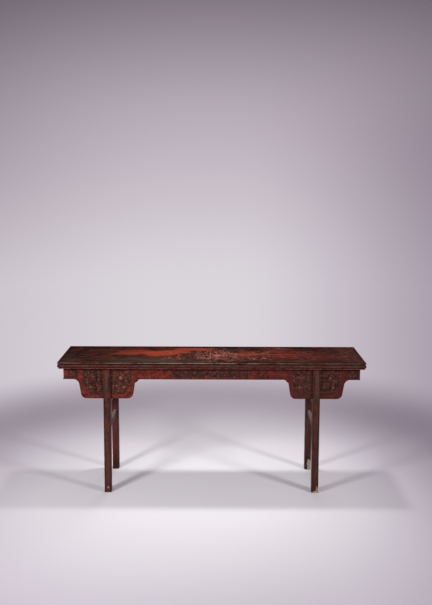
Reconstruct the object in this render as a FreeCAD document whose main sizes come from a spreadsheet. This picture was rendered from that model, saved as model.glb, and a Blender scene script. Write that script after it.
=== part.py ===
import FreeCAD, Part
import math
import os

import Sketcher

# Chinese altar table with a mitred frame top and legs set in from the ends.
# The origin is on the floor under the middle of the table: +X along its length, front towards -Y, +Z up.

# Driving dimensions, in millimetres
SIZES = {
    # Whole table
    "length": 1850,
    "depth": 425,
    "height": 825,
    # Fits between the pieces
    "side_gap": 0.2,
    "end_gap": 1,
    "overrun": 5,
    # Frame of the top: raised lip, waist, rounded band and low bead, from the top down
    "frame_thick": 44,
    "frame_width": 80,
    "lip_radius": 6,
    "waist_height": 5,
    "band_top_inset": 2,
    "band_crown_rise": 13,
    "low_bead_inset": 6,
    "low_bead_radius": 3,
    # Corner tenon from each long rail into the end rail
    "corner_tenon_rise": 6,
    "corner_tenon_thick": 12,
    "corner_tenon_inset": 24,
    "corner_tenon_width": 34,
    "corner_tenon_stop": 14,
    # Boards of the top
    "board_thick": 16,
    "tongue_drop": 5,
    "tongue_thick": 7,
    "tongue_length": 8,
    # Battens under the boards
    "batten_width": 30,
    "batten_height": 20,
    "dovetail_height": 5,
    "dovetail_neck": 20,
    "dovetail_flare": 2,
    "batten_tenon_width": 14,
    "batten_tenon_height": 10,
    "batten_tenon_length": 12,
    # Aprons
    "apron_height": 70,
    "apron_thick": 18,
    "apron_inset": 30,
    "apron_end_inset": 28.5,
    "bead_width": 6,
    "bead_proud": 2,
    "bead_bevel": 1.4,
    # Spandrels, in half widths from the leg's centre line
    "spandrel_drop": 119.5,
    "neck_half": 203,
    "neck_radius": 36,
    "toe_half": 124,
    "toe_radius": 34,
    "shoulder_margin": 12,
    "shoulder_rise": 34,
    # Legs
    "leg_foot_end_inset": 288,
    "leg_top_end_inset": 293,
    "leg_foot_inset": 24.5,
    "leg_top_inset": 43,
    "leg_foot_width": 41,
    "leg_top_width": 44.3,
    "leg_foot_depth": 43,
    "leg_top_depth": 46,
    "leg_bead_radius": 3,
    "leg_crown": 3,
    "leg_back_radius": 3,
    "leg_tenon_rise": 18,
    "leg_tenon_width": 28,
    "front_tenon_thick": 6,
    "back_tenon_thick": 10,
    # Stretchers between the front and back leg at each end
    "stretcher_upper_z": 545,
    "stretcher_lower_z": 397,
    "stretcher_height": 34,
    "stretcher_thick": 24,
    "stretcher_round": 10,
    "stretcher_tenon_height": 20,
    "stretcher_tenon_thick": 10,
    "stretcher_tenon_length": 22,
}

BATTENS = 4

doc = FreeCAD.newDocument("AltarTable")
sheet = doc.addObject("Spreadsheet::Sheet", "Sizes")


class Size:
    """A length, or a ratio of lengths, that carries the sheet expression it comes from."""

    def __init__(self, value, text):
        self.value = value
        self.text = text

    def joined(self, sign, other, value):
        return Size(value, "(" + self.text + " " + sign + " " + other.text + ")")

    def __add__(self, other):
        other = as_size(other)
        return self.joined("+", other, self.value + other.value)

    def __sub__(self, other):
        other = as_size(other)
        return self.joined("-", other, self.value - other.value)

    def __mul__(self, other):
        other = as_size(other)
        return self.joined("*", other, self.value * other.value)

    def __truediv__(self, other):
        other = as_size(other)
        return self.joined("/", other, self.value / other.value)

    def __neg__(self):
        return as_size(0) - self


def as_size(item):
    """A plain number as a Size, and a Size as it is."""
    if isinstance(item, Size):
        return item
    return Size(float(item), "(" + str(item) + ")")


def fill_sheet():
    """Write the driving dimensions into the sheet, one row and one alias each."""
    for row, (name, value) in enumerate(SIZES.items(), start=1):
        sheet.set("A" + str(row), name)
        sheet.set("B" + str(row), str(value))
        sheet.setAlias("B" + str(row), name)
    doc.recompute()


def size(name):
    """One driving dimension as a Size."""
    return Size(float(SIZES[name]), "Sizes." + name)


# Sketches

def bind(owner, field, amount):
    """Set a property from a Size and tie it to the sheet."""
    owner.setExpression(field, as_size(amount).text)


def new_body(label):
    """An empty body with its own label."""
    return doc.addObject("PartDesign::Body", label)


def new_sketch(body, plane, offset=0):
    """A sketch on one of the body's own origin planes, moved along the plane's normal."""
    sketch = body.newObject("Sketcher::SketchObject", body.Label + "_sketch")
    for feature in body.Origin.OriginFeatures:
        if feature.Role == plane + "_Plane":
            sketch.AttachmentSupport = [(feature, "")]
    sketch.MapMode = "FlatFace"
    bind(sketch, "AttachmentOffset.Base.z", offset)
    return sketch


def tie(sketch, kind, first, place, amount):
    """Tie a point or a radius of the sketch to a Size."""
    amount = as_size(amount)
    if kind == "Radius":
        index = sketch.addConstraint(Sketcher.Constraint(kind, first, amount.value))
    else:
        index = sketch.addConstraint(Sketcher.Constraint(kind, -1, 1, first, place, amount.value))
    bind(sketch, "Constraints[" + str(index) + "]", amount)


def tie_point(sketch, first, place, x, y):
    """Tie both coordinates of a point of the sketch."""
    tie(sketch, "DistanceX", first, place, x)
    tie(sketch, "DistanceY", first, place, y)


def arc_between(start, end, radius, turn):
    """The short arc from start to end, turning left for turn 1 and right for turn -1."""
    chord_x = end[0] - start[0]
    chord_y = end[1] - start[1]
    half_chord = math.hypot(chord_x, chord_y) / 2
    reach = math.sqrt(max(radius**2 - half_chord**2, 0)) * turn / (2 * half_chord)
    centre_x = (start[0] + end[0]) / 2 - chord_y * reach
    centre_y = (start[1] + end[1]) / 2 + chord_x * reach
    start_angle = math.atan2(start[1] - centre_y, start[0] - centre_x)
    end_angle = math.atan2(end[1] - centre_y, end[0] - centre_x)
    if turn < 0:
        start_angle, end_angle = end_angle, start_angle
    circle = Part.Circle(FreeCAD.Vector(centre_x, centre_y, 0), FreeCAD.Vector(0, 0, 1), radius)
    return Part.ArcOfCircle(circle, start_angle, end_angle)


def draw(sketch, corners):
    """Draw a closed outline through corners of (x, y), or (x, y, radius, turn) after an arc."""
    points = [(as_size(corner[0]), as_size(corner[1])) for corner in corners]
    ends = []
    for index, corner in enumerate(corners):
        start = (points[index - 1][0].value, points[index - 1][1].value)
        end = (points[index][0].value, points[index][1].value)
        if len(corner) == 2:
            line = Part.LineSegment(FreeCAD.Vector(*start, 0), FreeCAD.Vector(*end, 0))
            ends.append((sketch.addGeometry(line), 1, 2))
        else:
            radius = as_size(corner[2])
            turn = corner[3]
            arc = sketch.addGeometry(arc_between(start, end, radius.value, turn))
            tie(sketch, "Radius", arc, 0, radius)
            ends.append((arc, 1, 2) if turn > 0 else (arc, 2, 1))
    for index, (edge, first, last) in enumerate(ends):
        following, next_first, next_last = ends[(index + 1) % len(ends)]
        sketch.addConstraint(Sketcher.Constraint("Coincident", edge, last, following, next_first))
        tie_point(sketch, edge, last, *points[index])


def box_corners(left, low, right, high):
    """The corners of an upright rectangle."""
    return [(left, low), (right, low), (right, high), (left, high)]


def rise_radius(run, rise):
    """The radius of an arc that leaves a line along it and is rise off it after run."""
    return (run * run + rise * rise) / (rise * 2)


# Features

def pad(body, sketch, length, symmetric=False, backwards=False):
    """Extrude a sketch into the body."""
    feature = body.newObject("PartDesign::Pad", body.Label + "_pad")
    feature.Profile = sketch
    feature.Midplane = symmetric
    feature.Reversed = backwards
    bind(feature, "Length", length)
    doc.recompute()
    return feature


def cut(body, sketch, length, symmetric=False, backwards=False):
    """Cut a sketch out of the body, and check that it took something away."""
    before = body.Shape.Volume
    feature = body.newObject("PartDesign::Pocket", body.Label + "_pocket")
    feature.Profile = sketch
    feature.Midplane = symmetric
    feature.Reversed = backwards
    bind(feature, "Length", length)
    doc.recompute()
    if not body.Shape.Volume < before:
        raise RuntimeError(body.Label + ": a pocket cut nothing")
    return feature


def edge_names(body, wanted):
    """The body's last feature and the names of its edges that the test picks out."""
    names = []
    for index, edge in enumerate(body.Tip.Shape.Edges, start=1):
        if wanted(edge):
            names.append("Edge" + str(index))
    if not names:
        raise RuntimeError(body.Label + ": no edge was picked out")
    return body.Tip, names


def round_edges(body, radius, wanted):
    """Round the picked edges."""
    base = edge_names(body, wanted)
    feature = body.newObject("PartDesign::Fillet", body.Label + "_round")
    feature.Base = base
    bind(feature, "Radius", radius)
    doc.recompute()


def bevel_edges(body, width, wanted):
    """Bevel the picked edges."""
    base = edge_names(body, wanted)
    feature = body.newObject("PartDesign::Chamfer", body.Label + "_bevel")
    feature.Base = base
    bind(feature, "Size", width)
    doc.recompute()


def place(body, x, y, z, turn):
    """Put a body at its place in the table, turned about the upright axis."""
    bind(body, "Placement.Base.x", x)
    bind(body, "Placement.Base.y", y)
    bind(body, "Placement.Base.z", z)
    body.Placement.Rotation = FreeCAD.Rotation(FreeCAD.Vector(0, 0, 1), turn)


def mitre_ends(body, half_length, width):
    """Cut both ends of a rail at 45 degrees, from the full length outside to a shorter inside."""
    over = size("overrun")
    for side in (1, -1):
        sketch = new_sketch(body, "XY")
        tip = half_length + over
        inner = half_length - width - over
        corners = [(tip * side, -over), (tip * side, width + over), (inner * side, width + over)]
        draw(sketch, corners)
        cut(body, sketch, size("height"), symmetric=True)


# Places that several pieces share

fill_sheet()

half_length = size("length") / 2
half_depth = size("depth") / 2
gap = size("side_gap")
frame_under = size("height") - size("frame_thick")
field = size("frame_thick") - size("lip_radius")
inner_x = half_length - size("frame_width")
inner_y = half_depth - size("frame_width")
tongue_low = field - size("tongue_drop") - size("tongue_thick")
board_low = field - size("board_thick")
batten_low = board_low - size("batten_height")
apron_low = frame_under - size("apron_height")
apron_y = half_depth - size("apron_inset")
apron_x = half_length - size("apron_end_inset")
apron_back_y = apron_y - size("apron_thick")
spandrel_low = apron_low - size("spandrel_drop")
slot_front_y = apron_y - size("bead_proud") + gap
slot_back_y = apron_back_y - gap
foot_x = half_length - size("leg_foot_end_inset")
foot_y = half_depth - size("leg_foot_inset")
leg_top_x = half_length - size("leg_top_end_inset")
leg_top_y = half_depth - size("leg_top_inset")
batten_pitch = inner_x * 2 / BATTENS
batten_places = [batten_pitch * (index - (BATTENS - 1) / 2) for index in range(BATTENS)]


def leg_at(height):
    """The leg's centre, width and depth at a height above the floor."""
    up = height / frame_under
    centre_x = foot_x - (foot_x - leg_top_x) * up
    centre_y = foot_y - (foot_y - leg_top_y) * up
    width = size("leg_foot_width") + (size("leg_top_width") - size("leg_foot_width")) * up
    depth = size("leg_foot_depth") + (size("leg_top_depth") - size("leg_foot_depth")) * up
    return centre_x, centre_y, width, depth


spandrel_x = leg_at(spandrel_low)[0]


# Top frame

def rail_profile(sketch):
    """The moulded section of the top's edge: y runs inwards from the outer edge, z up."""
    lip = size("lip_radius")
    bead = size("low_bead_radius")
    bead_in = size("low_bead_inset")
    bead_edge = bead_in + bead
    crown = bead * 2 + size("band_crown_rise")
    waist_top = size("frame_thick") - lip * 2
    waist_low = waist_top - size("waist_height")
    band_top = size("band_top_inset")
    groove_back = size("frame_width") - size("tongue_length") - size("end_gap")
    groove_top = tongue_low + size("tongue_thick") + gap
    draw(sketch, [
        (size("frame_width"), 0),
        (size("frame_width"), tongue_low),
        (groove_back, tongue_low),
        (groove_back, groove_top),
        (size("frame_width"), groove_top),
        (size("frame_width"), field),
        (lip * 2, field),
        (lip, size("frame_thick"), lip, 1),
        (0, field, lip, 1),
        (lip, waist_top, lip, 1),
        (lip, waist_low),
        (band_top, waist_low),
        (0, crown, rise_radius(waist_low - crown, band_top), 1),
        (bead_edge, bead * 2, rise_radius(crown - bead * 2, bead_edge), 1),
        (bead_in, bead, bead, 1),
        (bead_edge, 0, bead, 1),
    ])


def frame_rail(label, rail_length):
    """A mitred rail of the top frame, without its joints."""
    body = new_body(label)
    sketch = new_sketch(body, "YZ")
    rail_profile(sketch)
    pad(body, sketch, rail_length, symmetric=True)
    mitre_ends(body, rail_length / 2, size("frame_width"))
    return body


def leg_tenon_spans():
    """Where the two tenons of a leg lie, as distances from the table's middle line."""
    front_low = slot_front_y
    front_high = front_low + size("front_tenon_thick")
    back_high = slot_back_y
    back_low = back_high - size("back_tenon_thick")
    return [(front_low, front_high), (back_low, back_high)]


def long_rail(label, turn, side):
    """A front or back rail, with tenons into the end rails and mortises for legs and battens."""
    body = frame_rail(label, size("length"))
    tenon_y = size("corner_tenon_inset")
    for end in (1, -1):
        sketch = new_sketch(body, "XY", size("corner_tenon_rise"))
        tip = (half_length - size("corner_tenon_stop")) * end
        root = inner_x * end
        draw(sketch, box_corners(root, tenon_y, tip, tenon_y + size("corner_tenon_width")))
        pad(body, sketch, size("corner_tenon_thick"))
        for low, high in leg_tenon_spans():
            sketch = new_sketch(body, "XY")
            middle = leg_top_x * end
            half = size("leg_tenon_width") / 2 + gap
            near = half_depth - high - gap
            far = half_depth - low + gap
            draw(sketch, box_corners(middle - half, near, middle + half, far))
            cut(body, sketch, size("leg_tenon_rise") + size("end_gap"), backwards=True)
    for middle in batten_places:
        sketch = new_sketch(body, "XY", batten_tenon_low() - gap)
        half = size("batten_tenon_width") / 2 + gap
        back = size("frame_width") - size("batten_tenon_length") - size("end_gap")
        draw(sketch, box_corners(middle - half, back, middle + half, size("frame_width") + size("overrun")))
        cut(body, sketch, size("batten_tenon_height") + gap * 2, backwards=True)
    place(body, 0, half_depth * side, frame_under, turn)


def end_rail(label, turn, side):
    """A left or right rail, with blind mortises for the corner tenons."""
    body = frame_rail(label, size("depth"))
    tenon_x = half_depth - size("corner_tenon_inset")
    for end in (1, -1):
        sketch = new_sketch(body, "XY", size("corner_tenon_rise") - gap)
        near = (tenon_x - size("corner_tenon_width") - gap) * end
        far = (tenon_x + gap) * end
        back = size("corner_tenon_stop") - size("end_gap")
        draw(sketch, box_corners(near, back, far, size("frame_width") + size("overrun")))
        cut(body, sketch, size("corner_tenon_thick") + gap * 2, backwards=True)
    place(body, half_length * side, 0, frame_under, turn)


# Boards and battens

def batten_tenon_low():
    """The underside of a batten's tenon above the frame's underside."""
    return batten_low + (size("batten_height") - size("batten_tenon_height")) / 2


def top_board(label, side, has_tongue):
    """One board of the top, tongued into the frame on three sides and jointed at the middle seam."""
    body = new_body(label)
    clear = size("side_gap")
    edge_y = inner_y - clear
    edge_x = inner_x - clear
    sketch = new_sketch(body, "XY", board_low)
    draw(sketch, box_corners(-edge_x, 0, edge_x, edge_y * side))
    pad(body, sketch, size("board_thick"))
    sketch = new_sketch(body, "XY", tongue_low)
    reach_x = inner_x + size("tongue_length")
    reach_y = inner_y + size("tongue_length")
    draw(sketch, box_corners(-reach_x, 0, reach_x, reach_y * side))
    pad(body, sketch, size("tongue_thick"))
    seam_reach = size("tongue_length")
    if has_tongue:
        sketch = new_sketch(body, "XY", tongue_low)
        seam_end = inner_x - clear
        draw(sketch, box_corners(-seam_end, 0, seam_end, -seam_reach * side))
        pad(body, sketch, size("tongue_thick"))
    else:
        sketch = new_sketch(body, "XY", tongue_low - clear)
        seam_end = reach_x + size("overrun")
        groove = (seam_reach + size("end_gap")) * side
        draw(sketch, box_corners(-seam_end, 0, seam_end, groove))
        cut(body, sketch, size("tongue_thick") + clear * 2, backwards=True)
    for middle in batten_places:
        sketch = new_sketch(body, "XZ")
        dovetail_outline(sketch, middle, clear)
        cut(body, sketch, size("depth"), symmetric=True)
    place(body, 0, 0, frame_under, 0)


def dovetail_outline(sketch, middle, clear):
    """A dovetail that widens upwards from the underside of the boards."""
    neck = size("dovetail_neck") / 2 + clear
    crown = neck + size("dovetail_flare")
    top = board_low + size("dovetail_height") + clear
    low = board_low
    draw(sketch, [
        (middle - neck, low),
        (middle + neck, low),
        (middle + crown, top),
        (middle - crown, top),
    ])


def batten(label, middle):
    """A batten under the boards, keyed into them and tenoned into the long rails."""
    body = new_body(label)
    half = size("batten_width") / 2
    sketch = new_sketch(body, "XZ")
    draw(sketch, box_corners(-half, batten_low, half, board_low))
    pad(body, sketch, inner_y * 2, symmetric=True)
    sketch = new_sketch(body, "XZ")
    dovetail_outline(sketch, as_size(0), as_size(0))
    pad(body, sketch, (inner_y - size("side_gap")) * 2, symmetric=True)
    sketch = new_sketch(body, "XZ")
    half_tenon = size("batten_tenon_width") / 2
    low = batten_tenon_low()
    draw(sketch, box_corners(-half_tenon, low, half_tenon, low + size("batten_tenon_height")))
    pad(body, sketch, (inner_y + size("batten_tenon_length")) * 2, symmetric=True)
    place(body, middle, 0, frame_under, 0)


# Aprons and spandrels

def is_bead_edge(edge):
    """Whether an edge runs along the front of the raised bead, and not across its end."""
    in_face = all(abs(vertex.Y) < Part.Precision.confusion() for vertex in edge.Vertexes)
    across_end = (size("bead_width") * math.sqrt(2)).value + Part.Precision.confusion()
    return in_face and edge.Length > across_end


def apron_board(label, board_length):
    """A mitred apron board with its bead, without notches: y runs inwards from the face, z up."""
    body = new_body(label)
    sketch = new_sketch(body, "XZ")
    half = board_length / 2
    draw(sketch, box_corners(-half, 0, half, size("apron_height")))
    pad(body, sketch, size("apron_thick"), backwards=True)
    sketch = new_sketch(body, "XZ")
    over = size("overrun")
    draw(sketch, box_corners(-half - over, size("bead_width"), half + over, size("apron_height") + over))
    cut(body, sketch, size("bead_proud"))
    bevel_edges(body, size("bead_bevel"), is_bead_edge)
    mitre_ends(body, half, size("apron_thick"))
    return body


def long_apron(label, turn, side):
    """A front or back apron with a notch for the shoulders of each spandrel."""
    body = apron_board(label, apron_x * 2)
    for end in (1, -1):
        sketch = new_sketch(body, "XZ")
        middle = spandrel_x * end
        base = size("neck_half") + size("shoulder_margin")
        top = base - size("shoulder_rise")
        over = size("overrun")
        draw(sketch, [
            (middle - base - over, -over),
            (middle + base + over, -over),
            (middle + top, size("shoulder_rise")),
            (middle - top, size("shoulder_rise")),
        ])
        cut(body, sketch, size("depth"), symmetric=True)
    place(body, 0, apron_y * side, apron_low, turn)


def end_apron(label, turn, side):
    """A short apron across one end of the table."""
    body = apron_board(label, apron_y * 2)
    place(body, apron_x * side, 0, apron_low, turn)


def open_arc(sketch, centre_x, centre_y, radius, first_angle, last_angle, side):
    """An arc with its centre and radius tied, mirrored for side -1: gives its first and last ends."""
    if side < 0:
        first_angle, last_angle = math.pi - last_angle, math.pi - first_angle
    centre = FreeCAD.Vector(centre_x.value * side, centre_y.value, 0)
    circle = Part.Circle(centre, FreeCAD.Vector(0, 0, 1), radius.value)
    arc = sketch.addGeometry(Part.ArcOfCircle(circle, first_angle, last_angle))
    tie(sketch, "Radius", arc, 0, radius)
    tie_point(sketch, arc, 3, centre_x * side, centre_y)
    if side > 0:
        return (arc, 1), (arc, 2)
    return (arc, 2), (arc, 1)


def join_lines(sketch, start, corners, finish):
    """Straight lines from one open end through tied corners to another open end."""
    here = start
    for x, y in corners:
        corner = FreeCAD.Vector(x.value, y.value, 0)
        line = sketch.addGeometry(Part.LineSegment(sketch.getPoint(*here), corner))
        sketch.addConstraint(Sketcher.Constraint("Coincident", line, 1, *here))
        tie_point(sketch, line, 2, x, y)
        here = (line, 2)
    line = sketch.addGeometry(Part.LineSegment(sketch.getPoint(*here), sketch.getPoint(*finish)))
    sketch.addConstraint(Sketcher.Constraint("Coincident", line, 1, *here))
    sketch.addConstraint(Sketcher.Constraint("Coincident", line, 2, *finish))


def flank_lean():
    """The angle of the flank that touches the toe and the neck, from upright."""
    across = size("neck_half").value - size("toe_half").value
    toe_to_apron = size("spandrel_drop").value - size("toe_radius").value
    up = toe_to_apron - size("neck_radius").value
    reach = size("toe_radius").value + size("neck_radius").value
    return math.atan2(up, across) - math.acos(reach / math.hypot(across, up))


def spandrel_outline(sketch, inset, foot_corners, head_corners):
    """An ogee on each side, offset inwards: toe, straight flank and neck, closed below and above."""
    lean = flank_lean()
    quarter = math.pi / 2
    neck_z = size("spandrel_drop") - size("neck_radius")
    toe_ends = {}
    neck_ends = {}
    for side in (1, -1):
        toe_radius = size("toe_radius") - inset
        neck_radius = size("neck_radius") + inset
        bottom, toe_end = open_arc(
            sketch, size("toe_half"), size("toe_radius"), toe_radius, -quarter, lean, side)
        top, neck_end = open_arc(
            sketch, size("neck_half"), neck_z, neck_radius, quarter, math.pi + lean, side)
        flank = sketch.addGeometry(Part.LineSegment(sketch.getPoint(*toe_end), sketch.getPoint(*neck_end)))
        sketch.addConstraint(Sketcher.Constraint("Tangent", *toe_end, flank, 1))
        sketch.addConstraint(Sketcher.Constraint("Tangent", *neck_end, flank, 2))
        tie(sketch, "DistanceX", *bottom, size("toe_half") * side)
        tie(sketch, "DistanceX", *top, size("neck_half") * side)
        toe_ends[side] = bottom
        neck_ends[side] = top
    join_lines(sketch, toe_ends[-1], foot_corners, toe_ends[1])
    join_lines(sketch, neck_ends[1], head_corners, neck_ends[-1])


def spandrel(label, turn, side_x, side_y):
    """A curved spandrel with mitred shoulders: y runs inwards from its face, z up from its bottom."""
    body = new_body(label)
    over = size("overrun")
    drop = size("spandrel_drop")
    top = drop + size("shoulder_rise")
    base = size("neck_half") + size("shoulder_margin")
    shoulder = base - size("shoulder_rise")
    sketch = new_sketch(body, "XZ")
    head = [(base, drop), (shoulder, top), (-shoulder, top), (-base, drop)]
    spandrel_outline(sketch, as_size(0), [], head)
    pad(body, sketch, size("apron_thick"), backwards=True)
    # The raised bead stops at the leg, whose slot closes on the lowered face
    sketch = new_sketch(body, "XZ")
    bead = size("bead_width")
    in_slot = size("leg_top_width") / 2 + gap
    foot = [(-in_slot, bead), (-in_slot, -over), (in_slot, -over), (in_slot, bead)]
    lowered = [(base + over, drop + bead), (base + over, top + over)]
    lowered += [(-x, z) for x, z in reversed(lowered)]
    spandrel_outline(sketch, bead, foot, lowered)
    cut(body, sketch, size("bead_proud"))
    bevel_edges(body, size("bead_bevel"), is_bead_edge)
    place(body, spandrel_x * side_x, apron_y * side_y, spandrel_low, turn)


# Legs

def leg_section(sketch, centre_x, centre_y, width, depth):
    """A leg's section: two beads and a gently rounded face in front, rounded corners behind."""
    bead = size("leg_bead_radius")
    back = size("leg_back_radius")
    left = centre_x - width / 2
    right = centre_x + width / 2
    front = centre_y - depth / 2
    rear = centre_y + depth / 2
    face = width / 2 - bead * 2
    crown = rise_radius(face, size("leg_crown"))
    draw(sketch, [
        (left, front + bead),
        (left + bead, front, bead, 1),
        (left + bead * 2, front + bead, bead, 1),
        (right - bead * 2, front + bead, crown, 1),
        (right - bead, front, bead, 1),
        (right, front + bead, bead, 1),
        (right, rear - back),
        (right - back, rear, back, 1),
        (left + back, rear),
        (left, rear - back, back, 1),
    ])


def leg(label, turn, side_x, side_y):
    """A splayed, tapered leg: front towards -y, its origin at the middle of the foot."""
    body = new_body(label)
    lean = side_x * side_y * -1
    over = size("overrun")
    sections = []
    for height in (as_size(0), frame_under):
        centre_x, centre_y, width, depth = leg_at(height)
        sketch = new_sketch(body, "XY", height)
        shift_x = (centre_x - foot_x) * lean
        shift_y = foot_y - centre_y
        leg_section(sketch, shift_x, shift_y, width, depth)
        sections.append(sketch)
    doc.recompute()
    loft = body.newObject("PartDesign::AdditiveLoft", label + "_loft")
    loft.Profile = sections[0]
    loft.Sections = [sections[1]]
    loft.Ruled = True
    doc.recompute()
    sketch = new_sketch(body, "YZ")
    slot_front = foot_y - slot_front_y
    slot_back = foot_y - slot_back_y
    draw(sketch, box_corners(slot_front, spandrel_low, slot_back, frame_under + over))
    cut(body, sketch, size("leg_top_width") * 2, symmetric=True)
    top_x = (leg_top_x - foot_x) * lean
    half = size("leg_tenon_width") / 2
    for low, high in leg_tenon_spans():
        sketch = new_sketch(body, "XY", frame_under)
        near = foot_y - high
        far = foot_y - low
        draw(sketch, box_corners(top_x - half, near, top_x + half, far))
        pad(body, sketch, size("leg_tenon_rise"))
    for height in (size("stretcher_lower_z"), size("stretcher_upper_z")):
        centre_x, centre_y, width, depth = leg_at(height)
        sketch = new_sketch(body, "YZ", (centre_x - foot_x) * lean)
        rear = foot_y - centre_y + depth / 2
        bottom = rear - size("stretcher_tenon_length") - size("end_gap")
        half_high = size("stretcher_tenon_height") / 2 + gap
        draw(sketch, box_corners(bottom, height - half_high, rear + over, height + half_high))
        cut(body, sketch, size("stretcher_tenon_thick") + gap * 2, symmetric=True)
    place(body, foot_x * side_x, foot_y * side_y, 0, turn)


# Stretchers

def is_long_edge(edge):
    """Whether an edge runs along a stretcher."""
    box = edge.BoundBox
    return box.YLength > box.XLength + box.ZLength


def stretcher(label, height, side_x):
    """A rounded stretcher between the front and back leg, shouldered to their leaning faces."""
    body = new_body(label)

    def reach(rise):
        centre_x, centre_y, width, depth = leg_at(height + rise)
        return centre_y - depth / 2

    half = size("stretcher_height") / 2
    low = reach(-half)
    high = reach(half)
    sketch = new_sketch(body, "YZ")
    draw(sketch, [(-low, -half), (low, -half), (high, half), (-high, half)])
    pad(body, sketch, size("stretcher_thick"), symmetric=True)
    round_edges(body, size("stretcher_round"), is_long_edge)
    sketch = new_sketch(body, "YZ")
    tip = reach(as_size(0)) + size("stretcher_tenon_length")
    half_tenon = size("stretcher_tenon_height") / 2
    draw(sketch, box_corners(-tip, -half_tenon, tip, half_tenon))
    pad(body, sketch, size("stretcher_tenon_thick"), symmetric=True)
    place(body, leg_at(height)[0] * side_x, 0, height, 0)


long_rail("top_rail_front", 0, -1)
long_rail("top_rail_back", 180, 1)
end_rail("top_rail_left", -90, -1)
end_rail("top_rail_right", 90, 1)
top_board("top_board_front", -1, True)
top_board("top_board_back", 1, False)
for number, middle in enumerate(batten_places, start=1):
    batten("batten_" + str(number), middle)
long_apron("apron_front", 0, -1)
long_apron("apron_back", 180, 1)
end_apron("end_apron_left", -90, -1)
end_apron("end_apron_right", 90, 1)
for face, turn, side_y in (("front", 0, -1), ("back", 180, 1)):
    for end, side_x in (("left", -1), ("right", 1)):
        spandrel("spandrel_" + face + "_" + end, turn, side_x, side_y)
        leg("leg_" + face + "_" + end, turn, side_x, side_y)
for end, side_x in (("left", -1), ("right", 1)):
    stretcher("stretcher_upper_" + end, size("stretcher_upper_z"), side_x)
    stretcher("stretcher_lower_" + end, size("stretcher_lower_z"), side_x)
doc.recompute()

# Nothing is written unless every feature and every sub-part is sound
for item in doc.Objects:
    if "Invalid" in item.State or "Error" in item.State:
        raise RuntimeError(item.Label + " failed")
bodies = [item for item in doc.Objects if item.isDerivedFrom("PartDesign::Body")]
for body in bodies:
    if body.Shape.isNull() or not body.Shape.isValid() or len(body.Shape.Solids) != 1:
        raise RuntimeError(body.Label + " is not one sound solid")
os.makedirs("parts", exist_ok=True)
for body in bodies:
    body.Shape.exportStep("parts/" + body.Label + ".step")
    print(body.Label, round(body.Shape.Volume), body.Shape.BoundBox)
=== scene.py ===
"""The finishes, raised ornament and studio setting of a red lacquered altar table."""
import logging
import math
from contextlib import contextmanager
from dataclasses import dataclass
from enum import Enum
from typing import Any, Callable, Iterator, Sequence

import bmesh
import bpy
from mathutils import Matrix, Vector


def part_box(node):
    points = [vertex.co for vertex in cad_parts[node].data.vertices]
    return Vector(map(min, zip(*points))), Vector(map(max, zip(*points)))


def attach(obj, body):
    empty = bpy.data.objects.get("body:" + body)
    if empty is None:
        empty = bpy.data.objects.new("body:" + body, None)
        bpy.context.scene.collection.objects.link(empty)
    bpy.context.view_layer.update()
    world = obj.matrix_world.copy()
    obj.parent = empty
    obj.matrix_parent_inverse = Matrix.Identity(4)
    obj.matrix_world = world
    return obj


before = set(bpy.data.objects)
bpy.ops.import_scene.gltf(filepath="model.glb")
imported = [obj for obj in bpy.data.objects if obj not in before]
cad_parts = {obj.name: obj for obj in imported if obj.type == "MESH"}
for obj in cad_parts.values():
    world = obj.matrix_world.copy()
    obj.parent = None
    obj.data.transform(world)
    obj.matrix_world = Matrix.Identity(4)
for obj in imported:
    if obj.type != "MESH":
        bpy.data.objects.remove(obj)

log = logging.getLogger("altar_table")

Colour = tuple[float, float, float, float]
Triple = tuple[float, float, float]
Pair = tuple[float, float]
Values = dict[str, Any]
Material = bpy.types.Material
Piece = bpy.types.Object

MM = 0.001
FULL_TURN = 2 * math.pi
CENTRE = (0, 0, 0)
UPRIGHT = (0, 0, 1)
MERGE_DISTANCE = 0.01 * MM
SEAT = 0.15 * MM
SMOOTH_ANGLE = math.radians(34)
BEND_STEP = math.radians(14)
DOME_STEPS = ((0.62, 0.9), (0.28, 0.78), (0.10, 0.6))
CARCASE_TOP = 0.779
CRACK_WIDTH = 0.05


class Facing(Enum):
    """The way a face of the table looks, as the three axes of a pattern laid on it."""

    FRONT = ((1, 0, 0), (0, 0, 1), (0, -1, 0))
    BACK = ((-1, 0, 0), (0, 0, 1), (0, 1, 0))
    LEFT = ((0, -1, 0), (0, 0, 1), (-1, 0, 0))
    RIGHT = ((0, 1, 0), (0, 0, 1), (1, 0, 0))

    def place(self, at: Vector, size: float) -> Matrix:
        """The place on this face of a pattern that was lying flat at the origin."""
        return Matrix.Translation(at) @ Matrix(self.value).transposed().to_4x4() @ sized(size)

    def along(self) -> Vector:
        """The way that a pattern's own x runs on this face."""
        return Vector(self.value[0])

    def outward(self) -> Vector:
        """The way that this face looks."""
        return Vector(self.value[2])


class Hand(Enum):
    """The left and the right of the table, by the sign of x."""

    LEFT = -1
    RIGHT = 1


def sized(size: float) -> Matrix:
    """The change of size of a copy that keeps its own relief."""
    return Matrix.Diagonal((size, size, 1, 1))


def pigment(code: str) -> Colour:
    """Turns a colour written as six hex digits into scene-linear values.

    Args:
        code: the colour as it looks on paper or a screen.

    Returns:
        Red, green, blue and a full alpha.
    """
    shown = [int(code[i:i + 2], 16) / 255 for i in (0, 2, 4)]
    linear = [c / 12.92 if c <= 0.04045 else ((c + 0.055) / 1.055) ** 2.4 for c in shown]
    return (linear[0], linear[1], linear[2], 1.0)


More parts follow.
